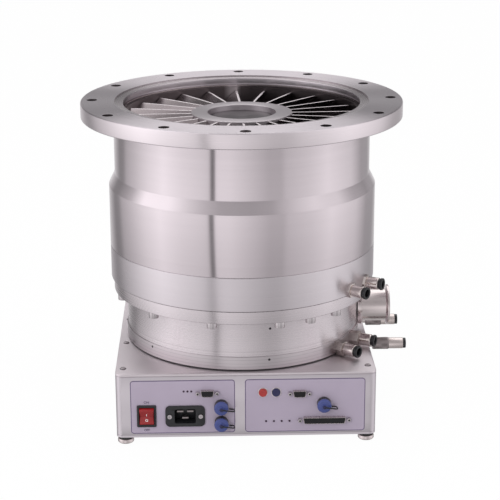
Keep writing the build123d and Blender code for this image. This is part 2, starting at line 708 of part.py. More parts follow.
# ---------------------------------------------------------------- push-in fittings
SLEEVE_TOP = FITTING_HEX_H + FITTING_SLEEVE_H
with BuildPart() as fitting:
    with BuildSketch():
        RegularPolygon(FITTING_HEX_AF / 2, 6, major_radius=False)
    extrude(amount=FITTING_HEX_H)
    with BuildSketch(Plane.XY.offset(FITTING_HEX_H)):
        Circle(FITTING_SLEEVE_R)
    extrude(amount=FITTING_SLEEVE_H)
    with BuildSketch(Plane.XY.offset(SLEEVE_TOP)):
        Circle(FITTING_SOCKET_R)
    extrude(amount=-FITTING_SOCKET_H, mode=Mode.SUBTRACT)
    with BuildSketch(Plane.XY.offset(SLEEVE_TOP)):
        Circle(COLLET_STEM_R + COLLET_CLEAR)
    extrude(amount=-COLLET_STEM_H - MEET, mode=Mode.SUBTRACT)

with BuildPart() as collet:
    with BuildSketch(Plane.XY.offset(SLEEVE_TOP + COLLET_GAP)):
        Circle(COLLET_R)
    extrude(amount=COLLET_HEAD_H)
    with BuildSketch(Plane.XY.offset(SLEEVE_TOP + COLLET_GAP)):
        Circle(COLLET_STEM_R)
    extrude(amount=-COLLET_STEM_H)
    with BuildSketch(Plane.XY.offset(SLEEVE_TOP + COLLET_GAP + COLLET_HEAD_H)):
        Circle(FITTING_SOCKET_R)
    extrude(amount=-COLLET_HEAD_H - COLLET_STEM_H, mode=Mode.SUBTRACT)

with BuildPart() as water_fittings:
    for azimuth, radius, height in FITTINGS:
        add(fitting_plane(azimuth, radius, height).location * fitting.part)
save(water_fittings, "water_fittings")
for number, (azimuth, radius, height) in enumerate(FITTINGS, 1):
    with BuildPart() as placed_collet:
        add(fitting_plane(azimuth, radius, height).location * collet.part)
    save(placed_collet, f"release_collet_{number}")

# ---------------------------------------------------------------- side couplings


def wall_plane(y, x):
    """A plane facing +X on the controller's right wall at one coupling."""
    return Plane(origin=(x, y, COUPLING_Z), x_dir=(0, 1, 0), z_dir=(1, 0, 0))


with BuildPart() as coupling_bodies:
    for y in COUPLING_YS:
        with BuildSketch(wall_plane(y, BOX_HALF_W)):
            RegularPolygon(COUPLING_HEX_AF / 2, 6, major_radius=False)
        extrude(amount=COUPLING_HEX_H)
        with BuildSketch(wall_plane(y, BOX_HALF_W - BOX_WALL)):
            Circle(COUPLING_NECK_R)
        extrude(amount=COUPLING_NECK_END - BOX_HALF_W + BOX_WALL)
save(coupling_bodies, "coupling_bodies")

with BuildPart() as coupling_nuts:
    for y in COUPLING_YS:
        with BuildSketch(wall_plane(y, COUPLING_NECK_END)):
            Circle(COUPLING_NUT_R)
            with PolarLocations(COUPLING_NUT_R, COUPLING_FLUTES):
                Rectangle(FLUTE_DEPTH, FLUTE_W, mode=Mode.SUBTRACT)
        extrude(amount=COUPLING_NUT_END - COUPLING_NECK_END)
save(coupling_nuts, "coupling_nuts")

with BuildPart() as coupling_sleeves:
    for y in COUPLING_YS:
        with BuildSketch(wall_plane(y, COUPLING_NUT_END)):
            Circle(COUPLING_SLEEVE_R)
        extrude(amount=COUPLING_SLEEVE_END - COUPLING_NUT_END)
save(coupling_sleeves, "coupling_sleeves")

with BuildPart() as coupling_plugs:
    for y in COUPLING_YS:
        with BuildSketch(wall_plane(y, COUPLING_SLEEVE_END)):
            Circle(COUPLING_PLUG_R)
        extrude(amount=COUPLING_PLUG_END - COUPLING_SLEEVE_END)
save(coupling_plugs, "coupling_plugs")

# ---------------------------------------------------------------- controller box


def corners(inset):
    """The four corner places of the box, a stated distance in from its sides."""
    return GridLocations(2 * (BOX_HALF_W - inset), 2 * (BOX_HALF_D - inset), 2, 2)


def plate_screws():
    """The places of the top plate's screws, along its two sides."""
    return GridLocations(2 * (BOX_HALF_W - PLATE_SCREW_INSET), PLATE_SCREW_PITCH, 2, PLATE_SCREWS)


def row(x, z, pitch, count):
    """Evenly spaced places to the right of (x, z) on the front panel."""
    return Locations([(x + pitch * step, z) for step in range(count)])


def panel_holes(mode):
    """Adds to or cuts from the open sketch the hole of every device on the front panel."""
    with Locations((SWITCH_X, SWITCH_Z)):
        Rectangle(SWITCH_BODY_W, SWITCH_BODY_H, mode=mode)
    with Locations((INLET_X, INLET_Z)):
        Rectangle(INLET_BODY_W, INLET_BODY_H, mode=mode)
    for x, z, shell_w, span in PORTS:
        with Locations((x, z)):
            Rectangle(shell_w + 1, PORT_SHELL_H + 1, mode=mode)
    with Locations(*BUTTONS.values()):
        Circle(BEZEL_BODY_R, mode=mode)
    with Locations(*CAPS):
        Circle(CONNECTOR_BODY_R, mode=mode)
    for lamps in (LAMPS_LEFT, LAMPS_RIGHT):
        with row(*lamps):
            Circle(LAMP_R, mode=mode)


with BuildPart() as controller_case:
    with BuildSketch(Plane.XY.offset(CASE_LOW)):
        RectangleRounded(2 * BOX_HALF_W, 2 * BOX_HALF_D, BOX_CORNER_R)
        offset(amount=-BOX_WALL, mode=Mode.SUBTRACT)
    extrude(amount=CASE_TOP - CASE_LOW)
    with BuildSketch(Plane.XY.offset(CASE_LOW)):
        with plate_screws():
            Circle(PLATE_SCREW_INSET - BOX_WALL / 2)
    extrude(amount=CASE_TOP - CASE_LOW)
    with BuildSketch(Plane.XY.offset(CASE_TOP)):
        with plate_screws():
            Circle(PLATE_SCREW_SHANK_R)
    extrude(amount=-PLATE_SCREW_SHANK, mode=Mode.SUBTRACT)
    with BuildSketch(front()):
        panel_holes(Mode.ADD)
    extrude(amount=-BOX_WALL, mode=Mode.SUBTRACT)
    with BuildSketch(Plane(origin=(BOX_HALF_W, 0, 0), x_dir=(0, 1, 0), z_dir=(1, 0, 0))):
        with Locations([(y, COUPLING_Z) for y in COUPLING_YS]):
            Circle(COUPLING_NECK_R)
    extrude(amount=-BOX_WALL, mode=Mode.SUBTRACT)
save(controller_case, "controller_case")

with BuildPart() as top_plate:
    with BuildSketch(Plane.XY.offset(CASE_TOP)):
        RectangleRounded(2 * BOX_HALF_W, 2 * BOX_HALF_D, BOX_CORNER_R)
        Circle(PLATE_HOLE_R, mode=Mode.SUBTRACT)
    extrude(amount=PLATE_T)
    chamfer(top_plate.faces().sort_by(Axis.Z)[-1].outer_wire().edges(), FLANGE_EDGE / 2)
    with BuildSketch(Plane.XY.offset(CASE_TOP)):
        with plate_screws():
            Circle(PLATE_SCREW_SHANK_R)
    extrude(amount=PLATE_T, mode=Mode.SUBTRACT)
save(top_plate, "top_plate")

with BuildPart() as bottom_plate:
    with BuildSketch(Plane.XY.offset(BOX_LOW)):
        RectangleRounded(2 * BOX_HALF_W, 2 * BOX_HALF_D, BOX_CORNER_R)
    extrude(amount=FLOOR_PLATE_T)
save(bottom_plate, "bottom_plate")

with BuildPart() as control_board:
    with BuildSketch(Plane.XY.offset(BOX_LOW + FLOOR_PLATE_T)):
        with GridLocations(BOARD_W - BOARD_EDGE, BOARD_D - BOARD_EDGE, 2, 2):
            Circle(POST_R)
    extrude(amount=POST_H)
    with BuildSketch(Plane.XY.offset(BOX_LOW + FLOOR_PLATE_T + POST_H)):
        Rectangle(BOARD_W, BOARD_D)
    extrude(amount=BOARD_T)
save(control_board, "control_board")

with BuildPart() as foot_pads:
    with BuildSketch(Plane.XY.offset(BOX_LOW)):
        with corners(FOOT_INSET):
            Circle(FOOT_PAD_R)
    extrude(amount=-FOOT_PAD_H)
save(foot_pads, "foot_pads")

with BuildPart() as foot_glides:
    with BuildSketch(Plane.XY.offset(BOX_LOW - FOOT_PAD_H)):
        with corners(FOOT_INSET):
            Circle(FOOT_GLIDE_R)
    extrude(amount=-FOOT_GLIDE_H)
    chamfer(foot_glides.faces().filter_by(Axis.Z).sort_by(Axis.Z)[:4].edges(), FOOT_EDGE)
save(foot_glides, "foot_glides")

# ---------------------------------------------------------------- front panel
with BuildPart() as panel_overlays:
    with BuildSketch(front()):
        for left, right in OVERLAYS:
            with Locations(((left + right) / 2, (OVERLAY_TOP + OVERLAY_LOW) / 2)):
                RectangleRounded(right - left, OVERLAY_TOP - OVERLAY_LOW, OVERLAY_R)
        panel_holes(Mode.SUBTRACT)
    extrude(amount=OVERLAY_T)
save(panel_overlays, "panel_overlays")

with BuildPart() as switch_frame:
    with BuildSketch(front(-OVERLAY_T)):
        with Locations((SWITCH_X, SWITCH_Z)):
            RectangleRounded(SWITCH_W, SWITCH_H, SWITCH_CORNER_R)
    extrude(amount=SWITCH_LIP)
    with BuildSketch(front(-OVERLAY_T)):
        with Locations((SWITCH_X, SWITCH_Z)):
            Rectangle(SWITCH_BODY_W, SWITCH_BODY_H)
    extrude(amount=-SWITCH_BODY_D)
    with BuildSketch(front(-OVERLAY_T - SWITCH_LIP)):
        with Locations((SWITCH_X, SWITCH_Z)):
            Rectangle(ROCKER_W + 2 * ROCKER_CLEAR, 2 * (ROCKER_R + ROCKER_CLEAR))
    extrude(amount=-SWITCH_LIP - ROCKER_R - SWITCH_ROOM, mode=Mode.SUBTRACT)
    with BuildSketch(Plane(origin=(SWITCH_X, FRONT_Y, SWITCH_Z), x_dir=(0, 1, 0), z_dir=(1, 0, 0))):
        Circle(ROCKER_PIN_R + ROCKER_PIN_CLEAR)
    extrude(amount=PIN_SPAN / 2 + MEET, both=True, mode=Mode.SUBTRACT)
save(switch_frame, "switch_frame")

rocker_side = Plane(
    origin=(SWITCH_X, FRONT_Y, SWITCH_Z),
    x_dir=(0, cos(radians(ROCKER_TILT)), sin(radians(ROCKER_TILT))), z_dir=(1, 0, 0),
)
with BuildPart() as power_rocker:
    with BuildSketch(rocker_side):
        Circle(ROCKER_R)
        with BuildLine():
            Polyline(
                (ROCKER_FACE_Y, ROCKER_R), (ROCKER_DISH_Y, 0), (ROCKER_FACE_Y, -ROCKER_R),
                (ROCKER_BACK_Y, -ROCKER_R), (ROCKER_BACK_Y, ROCKER_R),
                close=True,
            )
        make_face(mode=Mode.INTERSECT)
    extrude(amount=ROCKER_W / 2, both=True)
    with BuildSketch(rocker_side):
        Circle(ROCKER_PIN_R)
    extrude(amount=PIN_SPAN / 2, both=True)
save(power_rocker, "power_rocker")

with BuildPart() as power_inlet:
    with BuildSketch(front(-OVERLAY_T)):
        with Locations((INLET_X, INLET_Z)):
            RectangleRounded(INLET_W, INLET_H, INLET_CORNER_R)
    extrude(amount=INLET_LIP)
    with BuildSketch(front(-OVERLAY_T)):
        with Locations((INLET_X, INLET_Z)):
            Rectangle(INLET_BODY_W, INLET_BODY_H)
    extrude(amount=-INLET_BODY_D)
    with BuildSketch(front(-OVERLAY_T - INLET_LIP)):
        with Locations((INLET_X, INLET_Z)):
            RectangleRounded(INLET_CAVITY_W, INLET_CAVITY_H, INLET_CAVITY_CORNER_R)
    extrude(amount=-INLET_CAVITY_D, mode=Mode.SUBTRACT)
save(power_inlet, "power_inlet")

with BuildPart() as inlet_pins:
    with BuildSketch(front(-OVERLAY_T - INLET_LIP + INLET_CAVITY_D)):
        with Locations(
            (INLET_X - INLET_PIN_DX, INLET_Z + INLET_PIN_DZ), (INLET_X + INLET_PIN_DX, INLET_Z + INLET_PIN_DZ),
            (INLET_X, INLET_Z - INLET_PIN_DZ),
        ):
            Rectangle(INLET_PIN_W, INLET_PIN_T)
    extrude(amount=INLET_PIN_L)
save(inlet_pins, "inlet_pins")


def port_face(width, height):
    """D-shaped outline with its wide side up."""
    Trapezoid(width, height, PORT_SIDE_DEG, rotation=180)


with BuildPart() as data_ports:
    for x, z, shell_w, span in PORTS:
        with BuildSketch(front(BOX_WALL + PORT_FLANGE_T)):
            with Locations((x, z)):
                RectangleRounded(span + PORT_FLANGE_EXTRA, PORT_FLANGE_H, PORT_FLANGE_CORNER_R)
        extrude(amount=PORT_FLANGE_T)
        with BuildSketch(front(BOX_WALL + PORT_FLANGE_T)):
            with Locations((x, z)):
                port_face(shell_w, PORT_SHELL_H)
        extrude(amount=PORT_FLANGE_T + BOX_WALL + PORT_PROUD)
        with BuildSketch(front(-PORT_PROUD)):
            with Locations((x, z)):
                port_face(shell_w - 2 * PORT_SHELL_T, PORT_SHELL_H - 2 * PORT_SHELL_T)
        extrude(amount=-PORT_PROUD - BOX_WALL - PORT_FLANGE_T, mode=Mode.SUBTRACT)
save(data_ports, "data_ports")

with BuildPart() as port_inserts:
    for x, z, shell_w, span in PORTS:
        with BuildSketch(front(PORT_BACK)):
            with Locations((x, z)):
                port_face(shell_w - 2 * PORT_SHELL_T, PORT_SHELL_H - 2 * PORT_SHELL_T)
        extrude(amount=PORT_BACK + PORT_PROUD - PORT_FACE_SINK)
save(port_inserts, "port_inserts")

with BuildPart() as jackscrews:
    with BuildSketch(front(-OVERLAY_T)):
        for x, z, shell_w, span in PORTS:
            with Locations((x - span / 2, z), (x + span / 2, z)):
                RegularPolygon(JACK_AF / 2, 6, major_radius=False)
    extrude(amount=JACK_H)
save(jackscrews, "jackscrews")

with BuildPart() as cover_screws:
    with BuildSketch(Plane.XY.offset(BOX_TOP)):
        with plate_screws():
            Circle(PLATE_SCREW_R)
    extrude(amount=PLATE_SCREW_H)
    with BuildSketch(Plane.XY.offset(BOX_TOP)):
        with plate_screws():
            Circle(PLATE_SCREW_SHANK_R)
    extrude(amount=-PLATE_SCREW_SHANK)
    with BuildSketch(Plane.XY.offset(BOX_TOP + PLATE_SCREW_H)):
        with plate_screws():
            RegularPolygon(PLATE_SCREW_R / 2, 6)
    extrude(amount=-PLATE_SCREW_H / 1.6, mode=Mode.SUBTRACT)
    with BuildSketch(front(-OVERLAY_T - INLET_LIP)):
        with Locations((INLET_X, INLET_Z)):
            with GridLocations(INLET_SCREW_SPAN, 0, 2, 1):
                Circle(SCREW_R)
    extrude(amount=SCREW_H)
save(cover_screws, "cover_screws")

with BuildPart() as status_lamps:
    with BuildSketch(front(BOX_WALL)):
        for lamps in (LAMPS_LEFT, LAMPS_RIGHT):
            with row(*lamps):
                Circle(LAMP_R)
    extrude(amount=BOX_WALL + OVERLAY_T + LAMP_PROUD)
save(status_lamps, "status_lamps")

with BuildPart() as button_bezels:
    with BuildSketch(front(-OVERLAY_T)):
        with Locations(*BUTTONS.values()):
            Circle(BEZEL_R)
    extrude(amount=BEZEL_H)
    with BuildSketch(front(BEZEL_DEPTH)):
        with Locations(*BUTTONS.values()):
            Circle(BEZEL_BODY_R)
    extrude(amount=BEZEL_DEPTH + OVERLAY_T)
    with BuildSketch(front(-OVERLAY_T - BEZEL_H)):
        with Locations(*BUTTONS.values()):
            Circle(BUTTON_R + BUTTON_CLEAR)
    extrude(amount=1 - BEZEL_DEPTH, mode=Mode.SUBTRACT)
save(button_bezels, "button_bezels")

for label, (x, z) in BUTTONS.items():
    with BuildPart() as button:
        with BuildSketch(front(BUTTON_DEPTH)):
            with Locations((x, z)):
                Circle(BUTTON_R)
        extrude(amount=BUTTON_DEPTH + BUTTON_PROUD + OVERLAY_T)
        fillet(button.faces().sort_by(Axis.Y)[0].edges(), BUTTON_EDGE)
    save(button, label)

with BuildPart() as round_connectors:
    with BuildSketch(front(-OVERLAY_T)):
        with Locations(*CAPS):
            Circle(CONNECTOR_BARREL_R)
    extrude(amount=CONNECTOR_BARREL_L)
    with BuildSketch(front(BOX_WALL)):
        with Locations(*CAPS):
            Circle(CONNECTOR_BODY_R)
    extrude(amount=BOX_WALL + OVERLAY_T)
    with BuildSketch(front(-OVERLAY_T - CONNECTOR_BARREL_L)):
        with Locations(*CAPS):
            Circle(CONNECTOR_R)
    extrude(amount=CONNECTOR_L - CONNECTOR_BARREL_L)
save(round_connectors, "round_connectors")

CAP_BACK = -OVERLAY_T - CONNECTOR_BARREL_L - MEET
for number, (x, z) in enumerate(CAPS, 1):
    with BuildPart() as dust_cap:
        with BuildSketch(front(CAP_BACK)):
            with Locations((x, z)):
                Circle(CAP_R)
        extrude(amount=CAP_H)
        fillet(dust_cap.faces().sort_by(Axis.Y)[0].edges(), CAP_EDGE)
        with BuildSketch(front(CAP_BACK - CAP_H)):
            with Locations((x, z)):
                Circle(CAP_HUB_R)
        extrude(amount=CAP_HUB_H)
        with BuildSketch(front(CAP_BACK)):
            with Locations((x, z)):
                Circle(CONNECTOR_R + CAP_CLEAR)
        extrude(amount=CONNECTOR_L - CONNECTOR_BARREL_L, mode=Mode.SUBTRACT)
        with BuildSketch(front(CAP_BACK - CAP_H - CAP_HUB_H)):
            with Locations((x, z)):
                Circle(TETHER_PIN_R + TETHER_PIN_CLEAR)
        extrude(amount=-CAP_HUB_H - 1, mode=Mode.SUBTRACT)
    save(dust_cap, f"dust_cap_{number}")

PIN_Y = FRONT_Y + CAP_BACK - CAP_H - CAP_HUB_H
with BuildPart() as cap_tethers:
    for x, z in CAPS:
        with BuildSketch(front(CAP_BACK - CAP_H - CAP_HUB_H + TETHER_PIN_L)):
            with Locations((x, z)):
                Circle(TETHER_PIN_R)
        extrude(amount=TETHER_PIN_L + MEET + 2 * TETHER_R)
        pin_face = PIN_Y - MEET - TETHER_R
        root_y = FRONT_Y - OVERLAY_T - TETHER_R
        with BuildLine():
            FilletPolyline(
                (x, pin_face, z), (x + TETHER_REACH, pin_face, z - TETHER_DROP / 2),
                (x + TETHER_REACH, root_y - TETHER_ROOT, z - TETHER_DROP),
                (x + CONNECTOR_BARREL_R + TETHER_ROOT, root_y, z - TETHER_DROP),
                radius=TETHER_BEND_R,
            )
        with BuildSketch(Plane(origin=(x, pin_face, z), z_dir=(TETHER_REACH, 0, -TETHER_DROP / 2))):
            Circle(TETHER_R)
        sweep()
save(cap_tethers, "cap_tethers")
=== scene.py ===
"""Looks of the turbomolecular pump: meshes, finishes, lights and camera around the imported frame.

Shapes are written in millimetres and finishes in metres. +Z points up out of the inlet, -Y towards the
front panel and +X along the exhaust port.
"""
import math

import bmesh
import bpy
import numpy as np
from mathutils import Matrix, Vector


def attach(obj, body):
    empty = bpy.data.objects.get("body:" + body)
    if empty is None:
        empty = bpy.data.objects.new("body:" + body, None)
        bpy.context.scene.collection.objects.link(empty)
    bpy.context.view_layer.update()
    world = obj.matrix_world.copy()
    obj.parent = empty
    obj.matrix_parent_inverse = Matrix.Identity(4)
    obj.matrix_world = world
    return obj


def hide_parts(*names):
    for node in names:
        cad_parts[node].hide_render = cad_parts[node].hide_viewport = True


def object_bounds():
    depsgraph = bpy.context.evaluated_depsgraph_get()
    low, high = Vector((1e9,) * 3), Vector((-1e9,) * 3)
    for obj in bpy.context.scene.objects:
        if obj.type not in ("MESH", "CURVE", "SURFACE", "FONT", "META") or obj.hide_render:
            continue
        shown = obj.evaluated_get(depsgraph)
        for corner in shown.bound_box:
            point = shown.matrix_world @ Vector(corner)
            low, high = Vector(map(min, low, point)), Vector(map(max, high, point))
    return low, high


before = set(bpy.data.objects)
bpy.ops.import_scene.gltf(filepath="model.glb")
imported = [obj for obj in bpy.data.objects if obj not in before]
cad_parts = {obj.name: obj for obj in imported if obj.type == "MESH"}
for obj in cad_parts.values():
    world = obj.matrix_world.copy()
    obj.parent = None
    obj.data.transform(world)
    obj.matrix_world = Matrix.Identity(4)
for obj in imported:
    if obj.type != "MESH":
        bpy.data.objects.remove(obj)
CAD_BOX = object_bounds()
MM = 0.001
ROOT = "pump_body"


# ---- shader expressions
class Value:
    """A shader socket that adds Math nodes when it is used in an expression."""

    def __init__(self, paint, socket):
        self.paint, self.socket = paint, socket

    def math(self, operation, *others):
        return self.paint.node("ShaderNodeMath", {"operation": operation}, [self, *others])

    def __add__(self, other):
        return self.math("ADD", other)

    def __sub__(self, other):
        return self.math("SUBTRACT", other)

    def __rsub__(self, other):
        return self.math("MULTIPLY_ADD", -1.0, other)

    def __mul__(self, other):
        return self.math("MULTIPLY", other)

    def __truediv__(self, other):
        return self.math("DIVIDE", other)

    def __pow__(self, other):
        return self.math("POWER", other)

    __radd__, __rmul__ = __add__, __mul__

    def least(self, other):
        return self.math("MINIMUM", other)

    def most(self, other):
        return self.math("MAXIMUM", other)

    def size(self):
        return self.math("ABSOLUTE")

    def above(self, edge, soft):
        """0 below edge, 1 above edge + soft, and a straight ramp between."""
        return ((self - edge) / soft).most(0.0).least(1.0)


class Paint:
    """One material: a Principled shader with named constants, and nodes added by expressions."""

    def __init__(self, name, colour, rough, metal=0.0, **constants):
        self.material = bpy.data.materials.new(name)
        self.material.use_nodes = True
        self.tree = self.material.node_tree
        self.shader = self.tree.nodes["Principled BSDF"]
        self.set("Base Color", (*colour, 1.0))
        self.set("Roughness", rough)
        self.set("Metallic", metal)
        for key, value in constants.items():
            self.set(key.replace("_", " "), value)
        self._where = None

    def set(self, socket, value):
        """Sets a constant, or links an expression to the shader's socket."""
        if isinstance(value, Value):
            self.tree.links.new(value.socket, self.shader.inputs[socket])
        else:
            self.shader.inputs[socket].default_value = value

    def node(self, kind, settings, inputs, output=0):
        """Adds a node: its settings first, then the values or links of its sockets."""
        made = self.tree.nodes.new(kind)
        for key, value in settings.items():
            setattr(made, key, value)
        pairs = inputs.items() if isinstance(inputs, dict) else enumerate(inputs)
        for key, value in pairs:
            if isinstance(value, Value):
                self.tree.links.new(value.socket, made.inputs[key])
            else:
                made.inputs[key].default_value = value
        return Value(self, made.outputs[output])

    def where(self):
        """Object coordinates in metres, as x, y, z."""
        if self._where is None:
            spot = self.node("ShaderNodeTexCoord", {}, [], "Object")
            split = self.node("ShaderNodeSeparateXYZ", {}, [spot])
            outs = split.socket.node.outputs
            self._where = spot, *(Value(self, outs[i]) for i in range(3))
        return self._where

    def noise(self, scale, detail=2.0, stretch=(1.0, 1.0, 1.0)):
        """Soft noise from 0 to 1 on object coordinates, scale in cycles per metre."""
        spot = self.node("ShaderNodeVectorMath", {"operation": "MULTIPLY"}, [self.where()[0], stretch])
        return self.node("ShaderNodeTexNoise", {}, {"Vector": spot, "Scale": scale, "Detail": detail})

    def lines(self, along, scale, detail=3.0):
        """One-dimensional noise along a value, for turned and brushed lines."""
        return self.node(
            "ShaderNodeTexNoise", {"noise_dimensions": "1D"}, {"W": along, "Scale": scale, "Detail": detail,
            "Roughness": 0.65})

    def mix(self, mask, first, second):
        """Colour first where mask is 0 and second where it is 1."""
        made = self.tree.nodes.new("ShaderNodeMix")
        made.data_type = "RGBA"
        for index, value in ((0, mask), (6, first), (7, second)):
            if isinstance(value, Value):
                self.tree.links.new(value.socket, made.inputs[index])
            else:
                made.inputs[index].default_value = value if index == 0 else (*value, 1.0)
        return Value(self, made.outputs[2])

    def bump(self, height, distance, strength=1.0):
        """Feeds a height from 0 to 1, distance metres deep, into the normal."""
        self.set(
            "Normal", self.node("ShaderNodeBump", {},
            {"Height": height, "Distance": distance, "Strength": strength}))


def shade(colour, factor):
    return tuple(min(1.0, c * factor) for c in colour)


# tints mixed into turned metal: joint lines, painted gap shade, coarse turning, painted bore shade and
# highlight
JOINT_AND_GAP_SHADE_TINT, COARSE_TINT = (0.03, 0.026, 0.03), (0.30, 0.28, 0.29)
SHADED_TINT, PAINTED_HIGHLIGHT_TINT = (0.05, 0.042, 0.045), (0.85, 0.78, 0.80)


def turned_metal(name, colour, rough, ring_depth, anisotropic=0.6, axis="z", streak=0.06, lines=(),
                 coarse=None, shade_side=0.0):
    """Lathe-turned metal: fine rings that follow radius and height, slight smudges, clean edges.

    lines holds joint lines, and painted shade lines, as (height, half width, strength);
    coarse is (height, extra roughness) below it.
    shade_side paints shade on the +X half of a bore, with a painted highlight streak before it.
    """
    paint = Paint(name, colour, rough, 1.0, Anisotropic=anisotropic, Anisotropic_Rotation=0.25)
    _, x, y, z = paint.where()
    if axis == "z":
        along = (x * x + y * y) ** 0.5 + z
    else:
        along = x
    fine = paint.lines(along, 900.0, 4.0)
    broad = paint.lines(along, 110.0, 2.0)
    cloud = paint.noise(9.0, 3.0)
    base = paint.mix(
        fine * 0.35 + broad * 0.4 + cloud * 0.25, shade(colour, 1 - streak), shade(colour, 1 + streak))
    for height, half, strength in lines:
        mark = (1.0 - ((z - height).size()).above(half, 0.15 * MM)) * strength
        base = paint.mix(mark, base, JOINT_AND_GAP_SHADE_TINT)
    roughness = (fine - 0.5) * 0.12 + (cloud - 0.5) * 0.08 + rough
    if coarse:
        below = 1.0 - z.above(coarse[0], 0.5 * MM)
        base = paint.mix(below * 0.16, base, COARSE_TINT)
        roughness = roughness + below * coarse[1]
    if shade_side:
        # painted shade on the +X half of the bore, and a painted highlight streak just before it
        side = x / ((x * x + y * y) ** 0.5)
        dark = side.above(0.02, 0.10)
        pale = side.above(-0.14, 0.06) * (1.0 - side.above(-0.02, 0.04))
        base = paint.mix(dark * shade_side, base, SHADED_TINT)
        base = paint.mix(pale * 0.6, base, PAINTED_HIGHLIGHT_TINT)
    paint.set("Base Color", base)
    paint.set("Roughness", roughness)
    paint.bump(fine * 0.6 + broad * 0.4, ring_depth)
    return paint.material


def satin_metal(name, colour, rough, grain=(1.0, 1.0, 1.0), scale=900.0, depth=2e-5):
    """Plain satin or brushed metal: grain stretched along one direction, light clouding."""
    paint = Paint(name, colour, rough, 1.0)
    fine = paint.noise(scale, 3.0, grain)
    cloud = paint.noise(14.0, 3.0)
    paint.set("Base Color", paint.mix(fine * 0.5 + cloud * 0.5, shade(colour, 0.93), shade(colour, 1.06)))
    paint.set("Roughness", (fine - 0.5) * 0.18 + (cloud - 0.5) * 0.12 + rough)
    paint.bump(fine, depth)
    return paint.material


def milled_blade(colour, highlight_colour):
    """Rotor blades: cutter lines, a colour darkened as painted shade, and painted highlights on upward edges.
    """
    paint = Paint("milled_blade", colour, 0.26, 1.0)
    facing = paint.node("ShaderNodeNewGeometry", {}, [], "Normal")
    level = paint.node("ShaderNodeSeparateXYZ", {}, [facing], "Z")
    # painted highlight: faces that point upwards get the lighter colour
    edge = level.above(0.80, 0.12)
    fine = paint.noise(500.0, 3.0, (1.0, 1.0, 3.0))
    cloud = paint.noise(14.0, 3.0)
    base = paint.mix(fine * 0.5 + cloud * 0.5, shade(colour, 0.90), shade(colour, 1.10))
    paint.set("Base Color", paint.mix(edge, base, highlight_colour))
    paint.set("Roughness", (fine - 0.5) * 0.14 + edge * 0.25 + 0.26)
    paint.bump(fine, 1e-5)
    return paint.material


def moulded(name, colour, rough, coat=0.0):
    """Moulded plastic: faint sparkle grain, slight shade changes, finger-worn sheen."""
    paint = Paint(name, colour, rough, 0.0, Coat_Weight=coat)
    fine = paint.noise(1500.0, 2.0)
    cloud = paint.noise(60.0, 3.0)
    paint.set("Base Color", paint.mix(cloud, shade(colour, 0.86), shade(colour, 1.14)))
    paint.set("Roughness", (cloud - 0.5) * 0.2 + rough)
    paint.bump(fine, 2e-5)
    return paint.material


